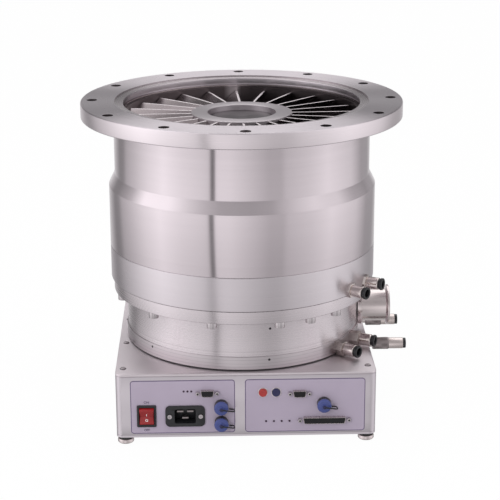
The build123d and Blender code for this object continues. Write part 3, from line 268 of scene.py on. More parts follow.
CASTING = (0.715, 0.65, 0.68)
MAT = {
    "turned": turned_metal("turned_aluminium", CASTING, 0.15, 4e-6, 0.93,
                           lines=((-0.1927, 0.0002, 0.7),)),
    "flange": turned_metal("turned_flange_face", (0.70, 0.645, 0.68), 0.30, 5e-6, 0.97, streak=0.05),
    # painted highlight: the flange's outer rim is a lighter copy of the flange face's turned aluminium
    "rim": turned_metal("turned_flange_rim", (0.86, 0.79, 0.82), 0.30, 4e-6, 0.8),
    "matte_turned": turned_metal("satin_turned_aluminium", (0.71, 0.66, 0.69), 0.31, 4e-6, 0.8,
                                 lines=((-0.2381, 0.0008, 1.0),)),
    "housing": turned_metal("turned_base_housing", (0.70, 0.645, 0.67), 0.28, 4e-6, 0.85, streak=0.08,
                            # the first line, at -0.3232, is painted shade in the shadow gap at the foot; the
                            # rest are turned rings
                            lines=((-0.3232, 0.0012, 1.0), (-0.2985, 0.0003, 0.18), (-0.3023, 0.0002, 0.15),
                                   (-0.3092, 0.0003, 0.2), (-0.3141, 0.0002, 0.22), (-0.3183, 0.0004, 0.15)),
                            coarse=(-0.305, 0.06)),
    # painted shade: a dark copy of the casing's aluminium for the hole walls, the deep bore and the parts
    # inside it, with more painted shade on the +X half and a painted highlight streak
    "dark_bore": turned_metal("shaded_bore", (0.19, 0.16, 0.165), 0.34, 1e-5, 0.5, shade_side=0.5),
    # painted shade: the recessed seal seat is a darker copy of the flange face's turned aluminium
    "seat": turned_metal("turned_seal_seat", (0.50, 0.45, 0.47), 0.26, 6e-6, 0.9),
    # painted shade: the throat wall is a darker copy of the casing's aluminium, darker still on its +X half,
    # with a painted highlight streak
    "bore": turned_metal("throat_wall", (0.50, 0.435, 0.445), 0.26, 1e-5, 0.85, shade_side=0.6),
    # painted shade and highlight: blades darker than their metal, lighter on upward edges
    "blade": milled_blade((0.30, 0.262, 0.27), (0.80, 0.74, 0.76)),
    "satin": satin_metal("satin_case_aluminium", (0.70, 0.65, 0.69), 0.36, (0.06, 1.0, 1.0), 700.0, 1e-5),
    "plate": satin_metal("brushed_top_plate", (0.80, 0.74, 0.77), 0.50, (0.05, 1.0, 1.0), 800.0, 1e-5),
    "bolt": satin_metal("bolt_steel", (0.56, 0.52, 0.535), 0.28, scale=1200.0),
    "polished": turned_metal("polished_steel", (0.74, 0.68, 0.69), 0.16, 4e-6, 0.3, "x", 0.04),
    "port": turned_metal("turned_port_steel", (0.76, 0.68, 0.675), 0.22, 6e-6, 0.3, "x", 0.05),
    "nickel": satin_metal("nickel_plating", (0.70, 0.63, 0.61), 0.13, depth=1e-5),
    # a darker metal for the lower fittings' hexes than for the upper ones
    "darker_hex_metal": satin_metal("fitting_hex_metal", (0.44, 0.385, 0.37), 0.30, depth=1e-5),
    "shell": satin_metal("port_shell_metal", (0.58, 0.53, 0.52), 0.25, depth=1e-5),
    "tube": turned_metal("turned_tube_steel", (0.76, 0.675, 0.655), 0.26, 6e-6, 0.3, "x", 0.05),
    "knurled": satin_metal("knurled_steel", (0.34, 0.30, 0.30), 0.32),
    "steel": satin_metal("ground_steel", (0.5, 0.49, 0.5), 0.3),
    "hub": turned_metal("turned_hub", (0.58, 0.535, 0.56), 0.34, 6e-6, 0.5),
    # painted shade: the clamp disc at the bottom of the hub recess is near black for the shade in the recess
    "recess": turned_metal("turned_clamp_disc", (0.11, 0.095, 0.103), 0.36, 1e-5, 0.5),
    # blackened steel for the plug screws and contact rings; the same colour is painted shade on the plate
    # screws' rings and the jack posts' holes
    "dark": satin_metal("blackened_steel_and_painted_shade", (0.05, 0.045, 0.05), 0.4),
    "copper": moulded("varnished_copper", (0.45, 0.20, 0.10), 0.35, coat=0.4),
    "black": moulded("black_plastic", (0.012, 0.012, 0.014), 0.38),
    "void": moulded("shaded_insert", (0.004, 0.004, 0.005), 0.7),
    "rubber": moulded("black_rubber", (0.02, 0.02, 0.02), 0.65),
    "blue": moulded("blue_cap_plastic", (0.044, 0.060, 0.21), 0.36, coat=0.1),
    "red": moulded("red_switch_plastic", (0.25, 0.008, 0.010), 0.3, coat=0.12),
    "red_button": moulded("red_button_plastic", (0.32, 0.022, 0.02), 0.34, coat=0.1),
    "navy": moulded("navy_button_plastic", (0.012, 0.012, 0.06), 0.34, coat=0.1),
    "lens": moulded("lamp_lens", (0.03, 0.01, 0.03), 0.18, coat=0.5),
    "board": moulded("board_green", (0.03, 0.16, 0.08), 0.4, coat=0.3),
    "ink": moulded("panel_ink", (0.035, 0.022, 0.06), 0.5),
    "white_ink": moulded("switch_mark", (0.80, 0.78, 0.78), 0.4),
}


# ---- numpy meshes
MERGE, SLIVER = 2e-6, 1e-7      # metres: points this close become one, and edges this short go


def linked(name, data):
    """A new object in the scene."""
    piece = bpy.data.objects.new(name, data)
    bpy.context.scene.collection.objects.link(piece)
    return piece


def build(name, points, faces, finish, body=ROOT, crease=32.0):
    """A piece from points in millimetres and a list of faces, merged, closed and facing outwards."""
    mesh = bpy.data.meshes.new(name)
    mesh.from_pydata((points * MM).reshape(-1, 3).tolist(), [], faces)
    work = bmesh.new()
    work.from_mesh(mesh)
    bmesh.ops.remove_doubles(work, verts=work.verts, dist=MERGE)
    bmesh.ops.dissolve_degenerate(work, edges=work.edges, dist=SLIVER)
    bmesh.ops.recalc_face_normals(work, faces=work.faces)
    work.to_mesh(mesh)
    work.free()
    mesh.shade_smooth()
    mesh.set_sharp_from_angle(angle=math.radians(crease))
    mesh.materials.append(MAT[finish])
    piece = linked(name, mesh)
    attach(piece, body)
    return piece


def grid_faces(copies, rows, columns, wrap_rows, wrap_columns):
    """Quads of several equal grids, with either direction joined round."""
    row = np.arange(rows if wrap_rows else rows - 1)
    column = np.arange(columns if wrap_columns else columns - 1)
    i, j = np.meshgrid(row, column, indexing="ij")
    up, over = (i + 1) % rows, (j + 1) % columns
    quads = np.stack([i * columns + j, i * columns + over, up * columns + over, up * columns + j], -1)
    shift = np.arange(copies)[:, None, None] * rows * columns
    return (quads.reshape(1, -1, 4) + shift).reshape(-1, 4).tolist()


def softened(profile, radius, steps=3, closed=True):
    """An outline with each corner replaced by a short curve that leaves both sides radius away from it."""
    corner = np.asarray(profile, float)
    before, after = np.roll(corner, 1, 0), np.roll(corner, -1, 0)
    back, ahead = before - corner, after - corner
    reach_back = np.minimum(radius, 0.45 * np.linalg.norm(back, axis=1))[:, None]
    reach_ahead = np.minimum(radius, 0.45 * np.linalg.norm(ahead, axis=1))[:, None]
    start = corner + back / np.linalg.norm(back, axis=1)[:, None] * reach_back
    end = corner + ahead / np.linalg.norm(ahead, axis=1)[:, None] * reach_ahead
    t = np.linspace(0, 1, steps + 1)[None, :, None]
    curve = (1 - t) ** 2 * start[:, None] + 2 * t * (1 - t) * corner[:, None] + t * t * end[:, None]
    if not closed:
        return np.concatenate([corner[:1], curve[1:-1].reshape(-1, corner.shape[1]), corner[-1:]])
    return curve.reshape(-1, corner.shape[1])


def axes(origin, direction, side=None):
    """Rotation and place that carry local z onto direction and local x onto side."""
    up = Vector(direction).normalized()
    side = Vector(side) if side else (Vector((1, 0, 0)) if abs(up.z) > 0.9 else up.cross((0, 0, 1)))
    side = (side - up * side.dot(up)).normalized()
    turn = np.array([side, up.cross(side), up])
    return turn, np.array(origin, float)


def placed(local, places):
    """Copies of local points at each place: local point times rotation, plus origin."""
    return np.stack([local @ turn + origin for turn, origin in places])


def spun(radius, height, angle):
    """Rows of points at each radius and height, carried round z to each angle."""
    return np.stack([radius * np.cos(angle), radius * np.sin(angle), height + 0 * angle], -1)


def lathe(name, profile, places, finish, body=ROOT, turns=192, soft=0.6, steps=3):
    """A closed outline of (radius, height), its corners rounded by soft, carried round the local z axis."""
    outline = softened(np.array(profile, float), soft, steps)
    angle = np.linspace(0, 2 * np.pi, turns, endpoint=False)
    points = placed(spun(outline[:, 0:1], outline[:, 1:2], angle), places)
    return build(name, points, grid_faces(len(places), len(outline), turns, True, True), finish, body)


def rod(radius, low, high):
    """The lathe outline of a plain solid cylinder."""
    return [(0, low), (radius, low), (radius, high), (0, high)]


def band(inner, outer, low, high):
    """The lathe outline of a plain ring."""
    return [(inner, low), (outer, low), (outer, high), (inner, high)]


def prism(name, outline, low, high, places, finish, body=ROOT, soft=0.4):
    """A closed flat outline carried up local z, with its two rims rounded inwards by soft."""
    flat = np.array(outline, float)
    centre = flat.mean(0)
    rounding = soft * np.array([1.0, 0.55, 0.18, 0.0])
    ahead = np.roll(flat, -1, 0) - np.roll(flat, 1, 0)
    inward = np.stack([-ahead[:, 1], ahead[:, 0]], -1)
    inward /= np.linalg.norm(inward, axis=1)[:, None]
    if (inward * (centre - flat)).sum() < 0:
        inward = -inward
    upper = list(zip(rounding, high - rounding[::-1]))
    lower = list(zip(rounding[::-1], low + rounding))
    local = np.stack(
        [np.concatenate([flat + inward * inset, np.full((len(flat), 1), height)], 1) for inset,
        height in upper + lower])
    rows, columns = local.shape[:2]
    faces = grid_faces(len(places), rows, columns, False, True)
    for start in range(0, len(places) * rows * columns, rows * columns):
        faces.append(list(range(start, start + columns)))
        faces.append(list(range(start + (rows - 1) * columns, start + rows * columns))[::-1])
    return build(name, placed(local, places), faces, finish, body)


def polygon(count, across_flats, start=0.0):
    """A regular polygon from its size across the flats."""
    angle = start + np.arange(count) * 2 * np.pi / count
    radius = across_flats / 2 / math.cos(math.pi / count)
    return np.stack([radius * np.cos(angle), radius * np.sin(angle)], -1)


def rounded_box(width, height, radius, steps=8):
    """A rectangle about the origin with quarter-circle corners."""
    quarter = np.linspace(0, np.pi / 2, steps + 1)
    points = []
    for turn, (sx, sy) in enumerate(((1, 1), (-1, 1), (-1, -1), (1, -1))):
        angle = quarter + turn * np.pi / 2
        centre = np.array([sx * (width / 2 - radius), sy * (height / 2 - radius)])
        points.append(centre + radius * np.stack([np.cos(angle), np.sin(angle)], -1))
    return np.concatenate(points)


def shift(outline, x, y):
    return np.asarray(outline) + np.array([x, y])


UP = [axes((0, 0, 0), (0, 0, 1), (1, 0, 0))]

# ---- camera and lights
CAMERA_AT = np.array([-46.9, -2007.9, 404.4]) * MM
YAW, PITCH, ROLL = 0.0285, 0.2966, -0.004
FOCAL = 1542.4
SENSOR, PICTURE = 36.0, 500


def make_camera():
    ahead = Vector((math.sin(YAW) * math.cos(PITCH), math.cos(YAW) * math.cos(PITCH), -math.sin(PITCH)))
    right = Vector((math.cos(YAW), -math.sin(YAW), 0))
    up = right.cross(ahead)
    turned_right = right * math.cos(ROLL) + up * math.sin(ROLL)
    turned_up = up * math.cos(ROLL) - right * math.sin(ROLL)
    data = bpy.data.cameras.new("view")
    data.sensor_width = SENSOR
    data.lens = FOCAL * SENSOR / PICTURE
    data.clip_end = 50
    camera = linked("view", data)
    rotation = Matrix((turned_right, turned_up, -ahead)).transposed().to_4x4()
    camera.matrix_world = Matrix.Translation(CAMERA_AT.tolist()) @ rotation
    bpy.context.scene.camera = camera


# soft studio surroundings, by compass direction from the front: (degrees, brightness)
LOW_SURROUND = (
    (-180, 0.95), (-158, 0.60), (-142, 0.30), (-133, 0.34), (-126, 0.56), (-112, 0.74), (-92, 1.06),
    (-75, 1.26), (-55, 1.06), (-36, 0.93), (-30, 0.86), (-28.2, 0.22), (-25.6, 0.20), (-24.2, 1.04),
    (-12, 1.02), (8, 0.78), (22, 0.61), (33, 0.60), (38, 0.72), (59, 0.86), (80, 1.06), (98, 0.94),
    (112, 0.84), (120, 0.68), (131, 0.46), (150, 0.42), (165, 0.7), (180, 0.95),
)
HIGH_SURROUND = (
    (-180, 0.26), (-150, 0.16), (-128, 0.16), (-112, 0.60), (-96, 1.35), (-70, 1.30), (-52, 0.92),
    (-36, 0.66), (-22, 0.50), (8, 0.44), (26, 0.48), (48, 0.78), (66, 0.98), (92, 0.90), (112, 0.42),
    (130, 0.16), (150, 0.18), (180, 0.26),
)
TOP_GLOW, GROUND = 1.45, 0.50
FLOOR_GLOW = 0.97    # the share of the floor that is plain white to the viewer


def compass_ramp(tree, compass, table):
    """A ramp round the compass that holds half of each brightness, which make_world's gain doubles."""
    ramp = tree.nodes.new("ShaderNodeValToRGB")
    stops = ramp.color_ramp.elements
    while len(stops) > 1:
        stops.remove(stops[-1])
    for index, (degrees, bright) in enumerate(table):
        place = degrees / 360 + 0.5
        stop = stops[0] if index == 0 else stops.new(place)
        stop.position = place
        stop.color = (bright / 2, bright / 2 * 0.985, bright / 2, 1.0)
    tree.links.new(compass.socket, ramp.inputs[0])
    return ramp.outputs[0]


def make_world():
    """Grey-to-white surroundings that follow the compass direction, and plain white for the viewer."""
    world = bpy.data.worlds.new("studio")
    bpy.context.scene.world = world
    world.use_nodes = True
    tree = world.node_tree
    tree.nodes.clear()
    paint = Paint.__new__(Paint)
    paint.tree, paint._where = tree, None
    direction = paint.node("ShaderNodeTexCoord", {}, [], "Generated")
    split = paint.node("ShaderNodeSeparateXYZ", {}, [direction])
    x, y, z = (Value(paint, split.socket.node.outputs[i]) for i in range(3))
    compass = x.math("ARCTAN2", y * -1.0) / (2 * math.pi) + 0.5
    low = Value(paint, compass_ramp(tree, compass, LOW_SURROUND))
    high = Value(paint, compass_ramp(tree, compass, HIGH_SURROUND))
    sky = paint.mix(z.above(0.0, 0.22), low, high)
    sky = paint.mix((z + y * 0.6).above(0.92, 0.12), sky, (TOP_GLOW / 2,) * 3)
    sky = paint.mix((z * -1.0).above(0.60, 0.3), sky, (GROUND / 2,) * 3)
    gain = (1.0 - (z * -1.0).above(0.18, 0.22) * 0.22) * 2.0
    seen = paint.node("ShaderNodeLightPath", {}, [], "Is Camera Ray")
    clear = paint.node("ShaderNodeLightPath", {}, [], "Is Transmission Ray")
    plain = seen.most(clear)
    final = paint.mix(plain, sky, (1.0, 1.0, 1.0))
    back = paint.node("ShaderNodeBackground", {}, [final, gain * (1.0 - plain) + plain])
    out = tree.nodes.new("ShaderNodeOutputWorld")
    tree.links.new(back.socket, out.inputs[0])


def area_light(name, at, towards, width, height, watts):
    data = bpy.data.lights.new(name, "AREA")
    data.shape = "RECTANGLE"
    data.size, data.size_y, data.energy = width, height, watts
    lamp = linked(name, data)
    lamp.location = at
    lamp.rotation_euler = (Vector(towards) - Vector(at)).to_track_quat("-Z", "Y").to_euler()
    lamp.visible_camera = False
    lamp.visible_glossy = False


def make_floor():
    """A pale floor: white to the viewer with a soft share of the shadow, open to mirrored rays."""
    low = CAD_BOX[0][2]
    mesh = bpy.data.meshes.new("floor")
    reach = 12.0
    mesh.from_pydata(
        [(-reach, -reach, low), (reach, -reach, low), (reach, reach, low), (-reach, reach, low)], [],
        [(0, 1, 2, 3)])
    floor = linked("floor", mesh)
    paint = Paint("floor_white", (0.82, 0.82, 0.82), 0.9)
    seen = paint.node("ShaderNodeLightPath", {}, [], "Is Camera Ray")
    shiny = paint.node("ShaderNodeLightPath", {}, [], "Is Glossy Ray")
    matt = Value(paint, paint.shader.outputs[0])
    glow = paint.node("ShaderNodeEmission", {}, {"Strength": 1.0})
    gone = paint.node("ShaderNodeBsdfTransparent", {}, [])
    blend = paint.node("ShaderNodeMixShader", {}, [seen * FLOOR_GLOW, matt, glow])
    choice = paint.node("ShaderNodeMixShader", {}, [shiny, blend, gone])
    paint.tree.links.new(choice.socket, paint.tree.nodes["Material Output"].inputs[0])
    mesh.materials.append(paint.material)


make_camera()
make_world()
make_floor()
area_light("top_soft", (0.2, -0.9, 2.4), (0, 0, -0.1), 1.6, 1.6, 20)
area_light("front_soft", (-1.6, -3.0, 1.2), (0, 0, -0.3), 2.0, 1.6, 40)
bpy.context.scene.view_settings.view_transform = "Standard"

# ---- casing
FLANGE_R, FLANGE_T, HOLE_CIRCLE, HOLE_R, HOLES_ROUND = 212.5, 20, 197.5, 7, 12
SEAT_R, THROAT_R, BORE_R = 168, 156.5, 158
UPPER_R, LOWER_R = 170, 178
TAPER_TOP, TAPER_LOW, BAND_TOP, JOINT = -95, -111, -192.5, -238
LAND_R, EDGE = 172.6, 1.0
ARC = 17    # points along the arcs of each hole's sector


def flange_face(height, outer, inner):
    """One face of the flange with its twelve holes.

    In each 30 degree sector a closed loop of boundary points (outer arc, sides, inner arc) is joined to
    the hole's circle by straight steps in radius and angle; the loop's point angles about the hole's
    centre also place the circle's points.
    """
    half = math.pi / HOLES_ROUND
    arc = np.linspace(-half, half, ARC)
    side_in = np.linspace(outer, inner, 9)[1:-1]
    radius = np.concatenate([np.full(ARC, outer), side_in, np.full(ARC, inner), side_in[::-1]])
    angle = np.concatenate([arc, np.full(7, half), arc[::-1], np.full(7, -half)])
    edge = np.stack([radius * np.cos(angle) - HOLE_CIRCLE, radius * np.sin(angle)], -1)
    aim = np.arctan2(edge[:, 1], edge[:, 0])
    ring = HOLE_R * np.stack([np.cos(aim), np.sin(aim)], -1)
    t = np.array([0.0, 0.08, 0.3, 0.65, 1.0])[:, None, None]
    sector = ring * (1 - t) + edge * t
    sector = sector + np.array([HOLE_CIRCLE, 0.0])
    turn = (np.arange(HOLES_ROUND) * 2 * half)[:, None, None]
    x = sector[..., 0] * np.cos(turn) - sector[..., 1] * np.sin(turn)
    y = sector[..., 0] * np.sin(turn) + sector[..., 1] * np.cos(turn)
    return np.stack([x, y, np.full_like(x, height)], -1)


def make_casing():
    """Flange faces with holes, hole walls and the turned outline, merged into one closed shell."""
    top = flange_face(0.0, FLANGE_R - EDGE, SEAT_R)
    low = flange_face(-FLANGE_T, FLANGE_R - EDGE, UPPER_R + 2)
    walls = np.stack([top[:, 0], low[:, 0]], 1)
    half = math.pi / HOLES_ROUND
    sector = np.linspace(-half, half, ARC)[:-1]
    samples = (sector + 2 * half * np.arange(HOLES_ROUND)[:, None]).ravel()
    rim = softened([
        (FLANGE_R - EDGE, 0), (FLANGE_R, -EDGE), (FLANGE_R, EDGE - FLANGE_T), (FLANGE_R - EDGE, -FLANGE_T),
    ], 0.3, 2, closed=False)
    groove = 0.5
    body = softened(
        [(UPPER_R + 2, -FLANGE_T), (UPPER_R + 0.4, -FLANGE_T - 0.5), (UPPER_R, -FLANGE_T - 2.2),
        (UPPER_R, TAPER_TOP), (LOWER_R, TAPER_LOW), (LOWER_R, BAND_TOP + groove),
        (LOWER_R - groove, BAND_TOP), (LAND_R, BAND_TOP), (LAND_R, JOINT), (BORE_R, JOINT), (BORE_R, -14),
        (THROAT_R, -14), (THROAT_R, -11.5), (160, -11.5), (160, -8), (THROAT_R, -8), (THROAT_R, -2.6),
        (THROAT_R + 0.6, -2), (SEAT_R, -2), (SEAT_R, 0)], 0.35, 2, closed=False)
    points, faces = [], []

    def add(part, copies):
        start = sum(len(p) for p in points)
        faces.extend([[v + start for v in f] for f in grid_faces(copies, *part.shape[1:3], False, True)])
        points.append(part.reshape(-1, 3))

    for part in (top, low, walls):
        add(part, HOLES_ROUND)
    for outline in (rim, body):
        add(spun(outline[:, 0:1], outline[:, 1:2], samples)[None], 1)
    casing = build("casing_shell", np.concatenate(points), faces, "turned")
    for finish in ("flange", "bore", "rim", "dark_bore", "seat"):
        casing.data.materials.append(MAT[finish])
    centres = np.zeros(len(casing.data.polygons) * 3)
    casing.data.polygons.foreach_get("center", centres)
    x, y, z = centres.reshape(-1, 3).T / MM
    reach = np.hypot(x, y)
    hole = np.round(np.arctan2(y, x) / (2 * half)) * 2 * half
    away = np.hypot(x - HOLE_CIRCLE * np.cos(hole), y - HOLE_CIRCLE * np.sin(hole))
    # material index: 0 turned, 1 flange, 2 bore (painted shade), 3 rim (painted highlight), 4 hole walls and
    # deep bore (painted shade), 5 seal seat (painted shade)
    index = np.zeros(len(x), np.int32)
    index[(z > -FLANGE_T - 0.1) & (reach > SEAT_R - 13)] = 1
    index[(reach < BORE_R + 0.5) & (z < -9)] = 2
    index[(reach > FLANGE_R - 0.3) & (z > -FLANGE_T)] = 3
    index[(reach > THROAT_R + 0.2) & (reach < SEAT_R + 0.05) & (z > -3)] = 5
    index[(away < HOLE_R + 0.05) | ((reach < BORE_R + 0.5) & (z < -13))] = 4
    casing.data.polygons.foreach_set("material_index", index)
    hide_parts("inlet_casing")


make_casing()

cooling = lathe(
    "cooling_band", [(LAND_R, BAND_TOP), (LOWER_R - 0.5, BAND_TOP), (LOWER_R, BAND_TOP - 0.6),
    (LOWER_R, JOINT + 1.5), (LOWER_R - 1.5, JOINT), (LAND_R, JOINT)], UP, "matte_turned", soft=0.25)
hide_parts("cooling_ring")

# base housing, downwards: bolt ring, body, foot and the shadow gap over the controller
RING_R, BODY_R, FOOT_R, SHADOW_R, SKIRT_R, BOLT_CIRCLE = 174.5, 157, 158.5, 155.5, 120, 167
RING_LOW, STEP_Z, SHADOW_Z, TOP_Z = -255, -305, -322.2, -324
housing = lathe(
    "housing_shell", [(146, JOINT), (RING_R - 0.6, JOINT), (RING_R, JOINT - 0.6), (RING_R, RING_LOW + 0.6),
    (RING_R - 0.6, RING_LOW), (BODY_R, RING_LOW), (BODY_R, STEP_Z), (FOOT_R, STEP_Z), (FOOT_R, SHADOW_Z),
    (SHADOW_R, SHADOW_Z), (SHADOW_R, TOP_Z), (SKIRT_R, TOP_Z), (SKIRT_R, -310), (36, -310), (36, -296),
    (146, -296)], UP, "housing", soft=0.3)
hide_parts("base_housing")


def cap_screw(name, head_r, head_h, shank_r, shank, places, socket=0.55):
    """Socket screw: local z points out of the head, whose seat is at 0; the socket is a turned recess."""
    recess = head_r * socket
    piece = lathe(
        name, [(0, -shank), (shank_r, -shank), (shank_r, 0), (head_r, 0), (head_r, head_h), (recess, head_h),
        (recess, head_h * 0.45), (0, head_h * 0.35)], places, "bolt", turns=24, soft=0.4, steps=2)
    return piece


# twelve bolts evenly spread under the ring, and one jacking screw
ring_bolt_places = [
    axes((BOLT_CIRCLE * math.cos(a), BOLT_CIRCLE * math.sin(a), RING_LOW), (0, 0, -1))
    for a in np.radians((*range(15, 360, 30), -60))]
bolts = cap_screw("ring_bolts", 6.5, 8, 4, 33, ring_bolt_places)
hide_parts("casing_bolts")

# ---- rotor
# rotor rows from the inlet: top, height, pitch at root and tip in degrees, thickness at root and tip
ROTOR_ROWS = (
    (-19.0, 26.0, 58.0, 39.0, 2.6, 1.7), (-65.0, 14.0, 42.0, 32.0, 2.0, 1.6),
    (-97.0, 11.0, 38.0, 30.0, 2.0, 1.6), (-124.0, 9.0, 34.0, 28.0, 1.8, 1.6),
    (-148.0, 8.0, 30.0, 26.0, 1.8, 1.6),
)
BLADES, HUB_R, TIP_R = 24, 67, 151.1


def blade_row(name, top, height, root_pitch, tip_pitch, root_t, tip_t, spans):
    """Twisted blades: at each radius a slanted section, cut flat top and bottom, turned about the hub."""
    t = np.linspace(0, 1, spans)[:, None]
    radius = (HUB_R - 1.2) * (1 - t) + TIP_R * t
    run_root = height / math.tan(math.radians(root_pitch)) / 2
    run_tip = height / math.tan(math.radians(tip_pitch)) / 2
    wide_root = root_t / math.sin(math.radians(root_pitch)) / 2
    wide_tip = tip_t / math.sin(math.radians(tip_pitch)) / 2
    run = (run_root * (1 - t) + run_tip * t)
    wide = (wide_root * (1 - t) + wide_tip * t)
    across = np.concatenate([-run - wide, -run + wide, run + wide, run - wide], 1)
    heights = np.tile(np.array([0, 0, -height, -height]) + top, (spans, 1))
    section = np.stack([across, heights], -1)
    soft = np.stack([softened(row, 0.35, 2) for row in section])
    local = np.stack([np.tile(radius, (1, soft.shape[1])), soft[..., 0], soft[..., 1]], -1)
    tip = np.tile(local[-1].mean(0), (1, local.shape[1], 1))
    root = np.tile(local[0].mean(0), (1, local.shape[1], 1))
    local = np.concatenate([root, local, tip])
    angle = (np.arange(BLADES) + 0.5) * 2 * np.pi / BLADES
    cos, sin = np.cos(angle)[:, None, None], np.sin(angle)[:, None, None]
    out, aside, up = np.moveaxis(local, -1, 0)
    points = np.stack([out * cos - aside * sin, out * sin + aside * cos, up + 0 * cos], -1)
    faces = grid_faces(BLADES, local.shape[0], local.shape[1], False, True)
    piece = build(name, points, faces, "blade", "rotor_assembly", 38.0)
    return piece


hub = lathe(
    "rotor_hub", [(17, -30.5), (45, -30.5), (45, -17.5), (67, -17.5), (67, -181), (112, -181), (112, -190),
    (57, -190), (57, -60.5), (17, -60.5)], UP, "hub", "rotor_assembly", soft=0.8)
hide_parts("rotor")
for row_number, row in enumerate(ROTOR_ROWS, 1):
    blade_row(f"rotor_blades_{row_number}", *row, spans=10 if row_number == 1 else 4)

# the clamp disc carries the painted shade of the hub recess
clamp = lathe(
    "clamp_disc", [(0, -30.5), (44.6, -30.5), (44.6, -25.5), (43.6, -24.5), (0, -24.5)], UP, "recess",
    "rotor_assembly", turns=128, soft=0.3)
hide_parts("rotor_clamp_disc")

# ---- finishes of the frame's own nodes
# the stator stages, spacer rings, Holweck stator and bearing housing take the bore finishes and their painted
# shade; the drum takes the blades' painted shade and highlight
CAD_FINISH = {
    "vacuum_seals": "rubber", "holweck_drum": "blade", "holweck_stator": "bore", "spacer_rings": "dark_bore",
    "rotor_shaft": "steel", "shaft_sleeves": "steel", "thrust_disc": "steel", "motor_stator": "copper",
    "radial_magnets": "copper", "axial_magnets": "copper", "position_sensors": "black",
    "touchdown_bearings": "steel", "bearing_housing": "bore", "cartridge_screws": "bolt",
    "bottom_plate": "satin", "control_board": "board", "inlet_pins": "knurled", "port_inserts": "void",
}
for stage in range(1, 6):
    CAD_FINISH[f"stator_stage_{stage}"] = "dark_bore"
for node, finish in CAD_FINISH.items():
    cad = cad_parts[node]
    cad.data.materials.clear()
    cad.data.materials.append(MAT[finish])

# ---- plug screws
PLUGS = ((-78.5, 157.0, -267.8), (-79.0, 158.5, -309.5), (-140.0, 158.5, -309.5), (-13.0, 158.5, -309.5))


def outward_place(azimuth, radius, height):
    """A place facing radially outwards from the pump's axis."""
    out = (math.cos(math.radians(azimuth)), math.sin(math.radians(azimuth)), 0)
    return axes((radius * out[0], radius * out[1], height), out, (-out[1], out[0], 0))


plugs = lathe(
    "plug_screws", [(0, -7), (2.4, -7), (2.4, -0.4), (1.5, 0.05), (1.3, 0.12), (0, 0.12)],
    [outward_place(*row) for row in PLUGS], "dark", turns=24, soft=0.1, steps=1)
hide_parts("housing_plugs")

# ---- exhaust port
EX_Z = -290
SIDE = (1, 0, 0)
port_place = [axes((0, 0, EX_Z), SIDE, (0, 1, 0))]
exhaust = lathe(
    "exhaust_flange", [(20, 156.3), (26.5, 156.3), (26.5, 162.8), (22, 162.8), (22, 195.9), (27.5, 197.4),
    (27.5, 200.4), (20, 200.4)], port_place, "port", turns=96, soft=0.5)
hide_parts("exhaust_port")

# ---- water fittings
FITTINGS = ((-39.5, 167.8, -230.5), (-27.0, 167.8, -230.5), (-39.5, 156.5, -313.5), (-25.0, 156.5, -313.5))
fit_places = [outward_place(*row) for row in FITTINGS]
for name, places, finish in (("fitting_hexes", fit_places[:2], "nickel"),
                             ("fitting_hexes_low", fit_places[2:], "darker_hex_metal")):
    hexes = prism(name, polygon(6, 18), 0, 14.5, places, finish, soft=0.7)
sleeves = lathe(
    "fitting_sleeves", [(5.05, 14.4), (7.2, 14.4), (7.2, 15.7), (8, 16.3), (8, 29.6), (7.6, 31), (6.55, 31),
    (6.55, 24.7), (5.05, 24.7)], fit_places, "nickel", turns=48, soft=0.3)
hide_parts("water_fittings")
for number, place in enumerate(fit_places, 1):
    collet = lathe(
        f"collet_ring_{number}", [(5.05, 27.2), (6.5, 27.2), (6.5, 33.2), (7.9, 33.2), (8, 34.4), (8, 36.1),
        (7.2, 36.7), (5.7, 36.7), (5.05, 35.8)], [place], "black", f"release_collet_{number}", turns=48,
        soft=0.3)
    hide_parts(f"release_collet_{number}")

# ---- side couplings
COUPLING_Z = -340
coupling_places = [axes((0, y, COUPLING_Z), SIDE, (0, 1, 0)) for y in (-19.0, 79.0)]
necks = lathe("coupling_necks", rod(5, 164, 178.2), coupling_places, "nickel", turns=32, soft=0.2)
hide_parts("coupling_bodies")
coupling_hex = prism("coupling_hexes", polygon(6, 17), 168, 172, coupling_places, "nickel", soft=0.6)


def knurled(name, radius, low, high, depth, count, places, finish):
    """A cylinder whose radius follows two crossing helical waves, with plain rounded ends."""
    rows = np.linspace(0, 1, 26)
    angle = np.linspace(0, 2 * np.pi, count * 4, endpoint=False)
    height = low + (high - low) * rows
    length = (high - low) / (2 * np.pi * radius / count)
    one = np.cos(count * angle[None] + 2 * np.pi * length * rows[:, None])
    two = np.cos(count * angle[None] - 2 * np.pi * length * rows[:, None])
    fade = np.clip(np.minimum(rows, 1 - rows) * 14, 0, 1)[:, None]
    wave = radius - depth * fade * (1 - np.maximum(one, two)) / 2 - 0.4 * (1 - np.clip(fade * 2, 0, 1))
    wave = np.concatenate([np.zeros((1, len(angle))), wave, np.zeros((1, len(angle)))])
    height = np.concatenate([[low], height, [high]])
    faces = grid_faces(len(places), len(wave), len(angle), False, True)
    return build(name, placed(spun(wave, height[:, None], angle), places), faces, finish, crease=50.0)


nuts = knurled("coupling_knurls", 8.2, 178, 200, 0.5, 30, coupling_places, "knurled")
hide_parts("coupling_nuts")
tubes = lathe("coupling_tubes", rod(7.6, 199.8, 219.5), coupling_places, "tube", turns=48, soft=0.6)
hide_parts("coupling_sleeves")
ends = lathe(
    "coupling_ends", [(0, 219.3), (7, 219.3), (7, 223.5), (3.2, 223.5), (3.2, 221), (0, 221)],
    coupling_places, "black", turns=48, soft=0.5)
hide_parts("coupling_plugs")

# ---- controller box
HALF_W, HALF_D, LOW_Z = 168, 165, -411
PLATE_T = 3.5
CORNER = 9
# each pocket behind the panel: middle and width, then the height and depth they share
POCKETS = ((-128.5, 19.4), (-78.8, 27.4))
POCKET_LOW, POCKET_HIGH, POCKET_D = -393.0, -369.0, 19


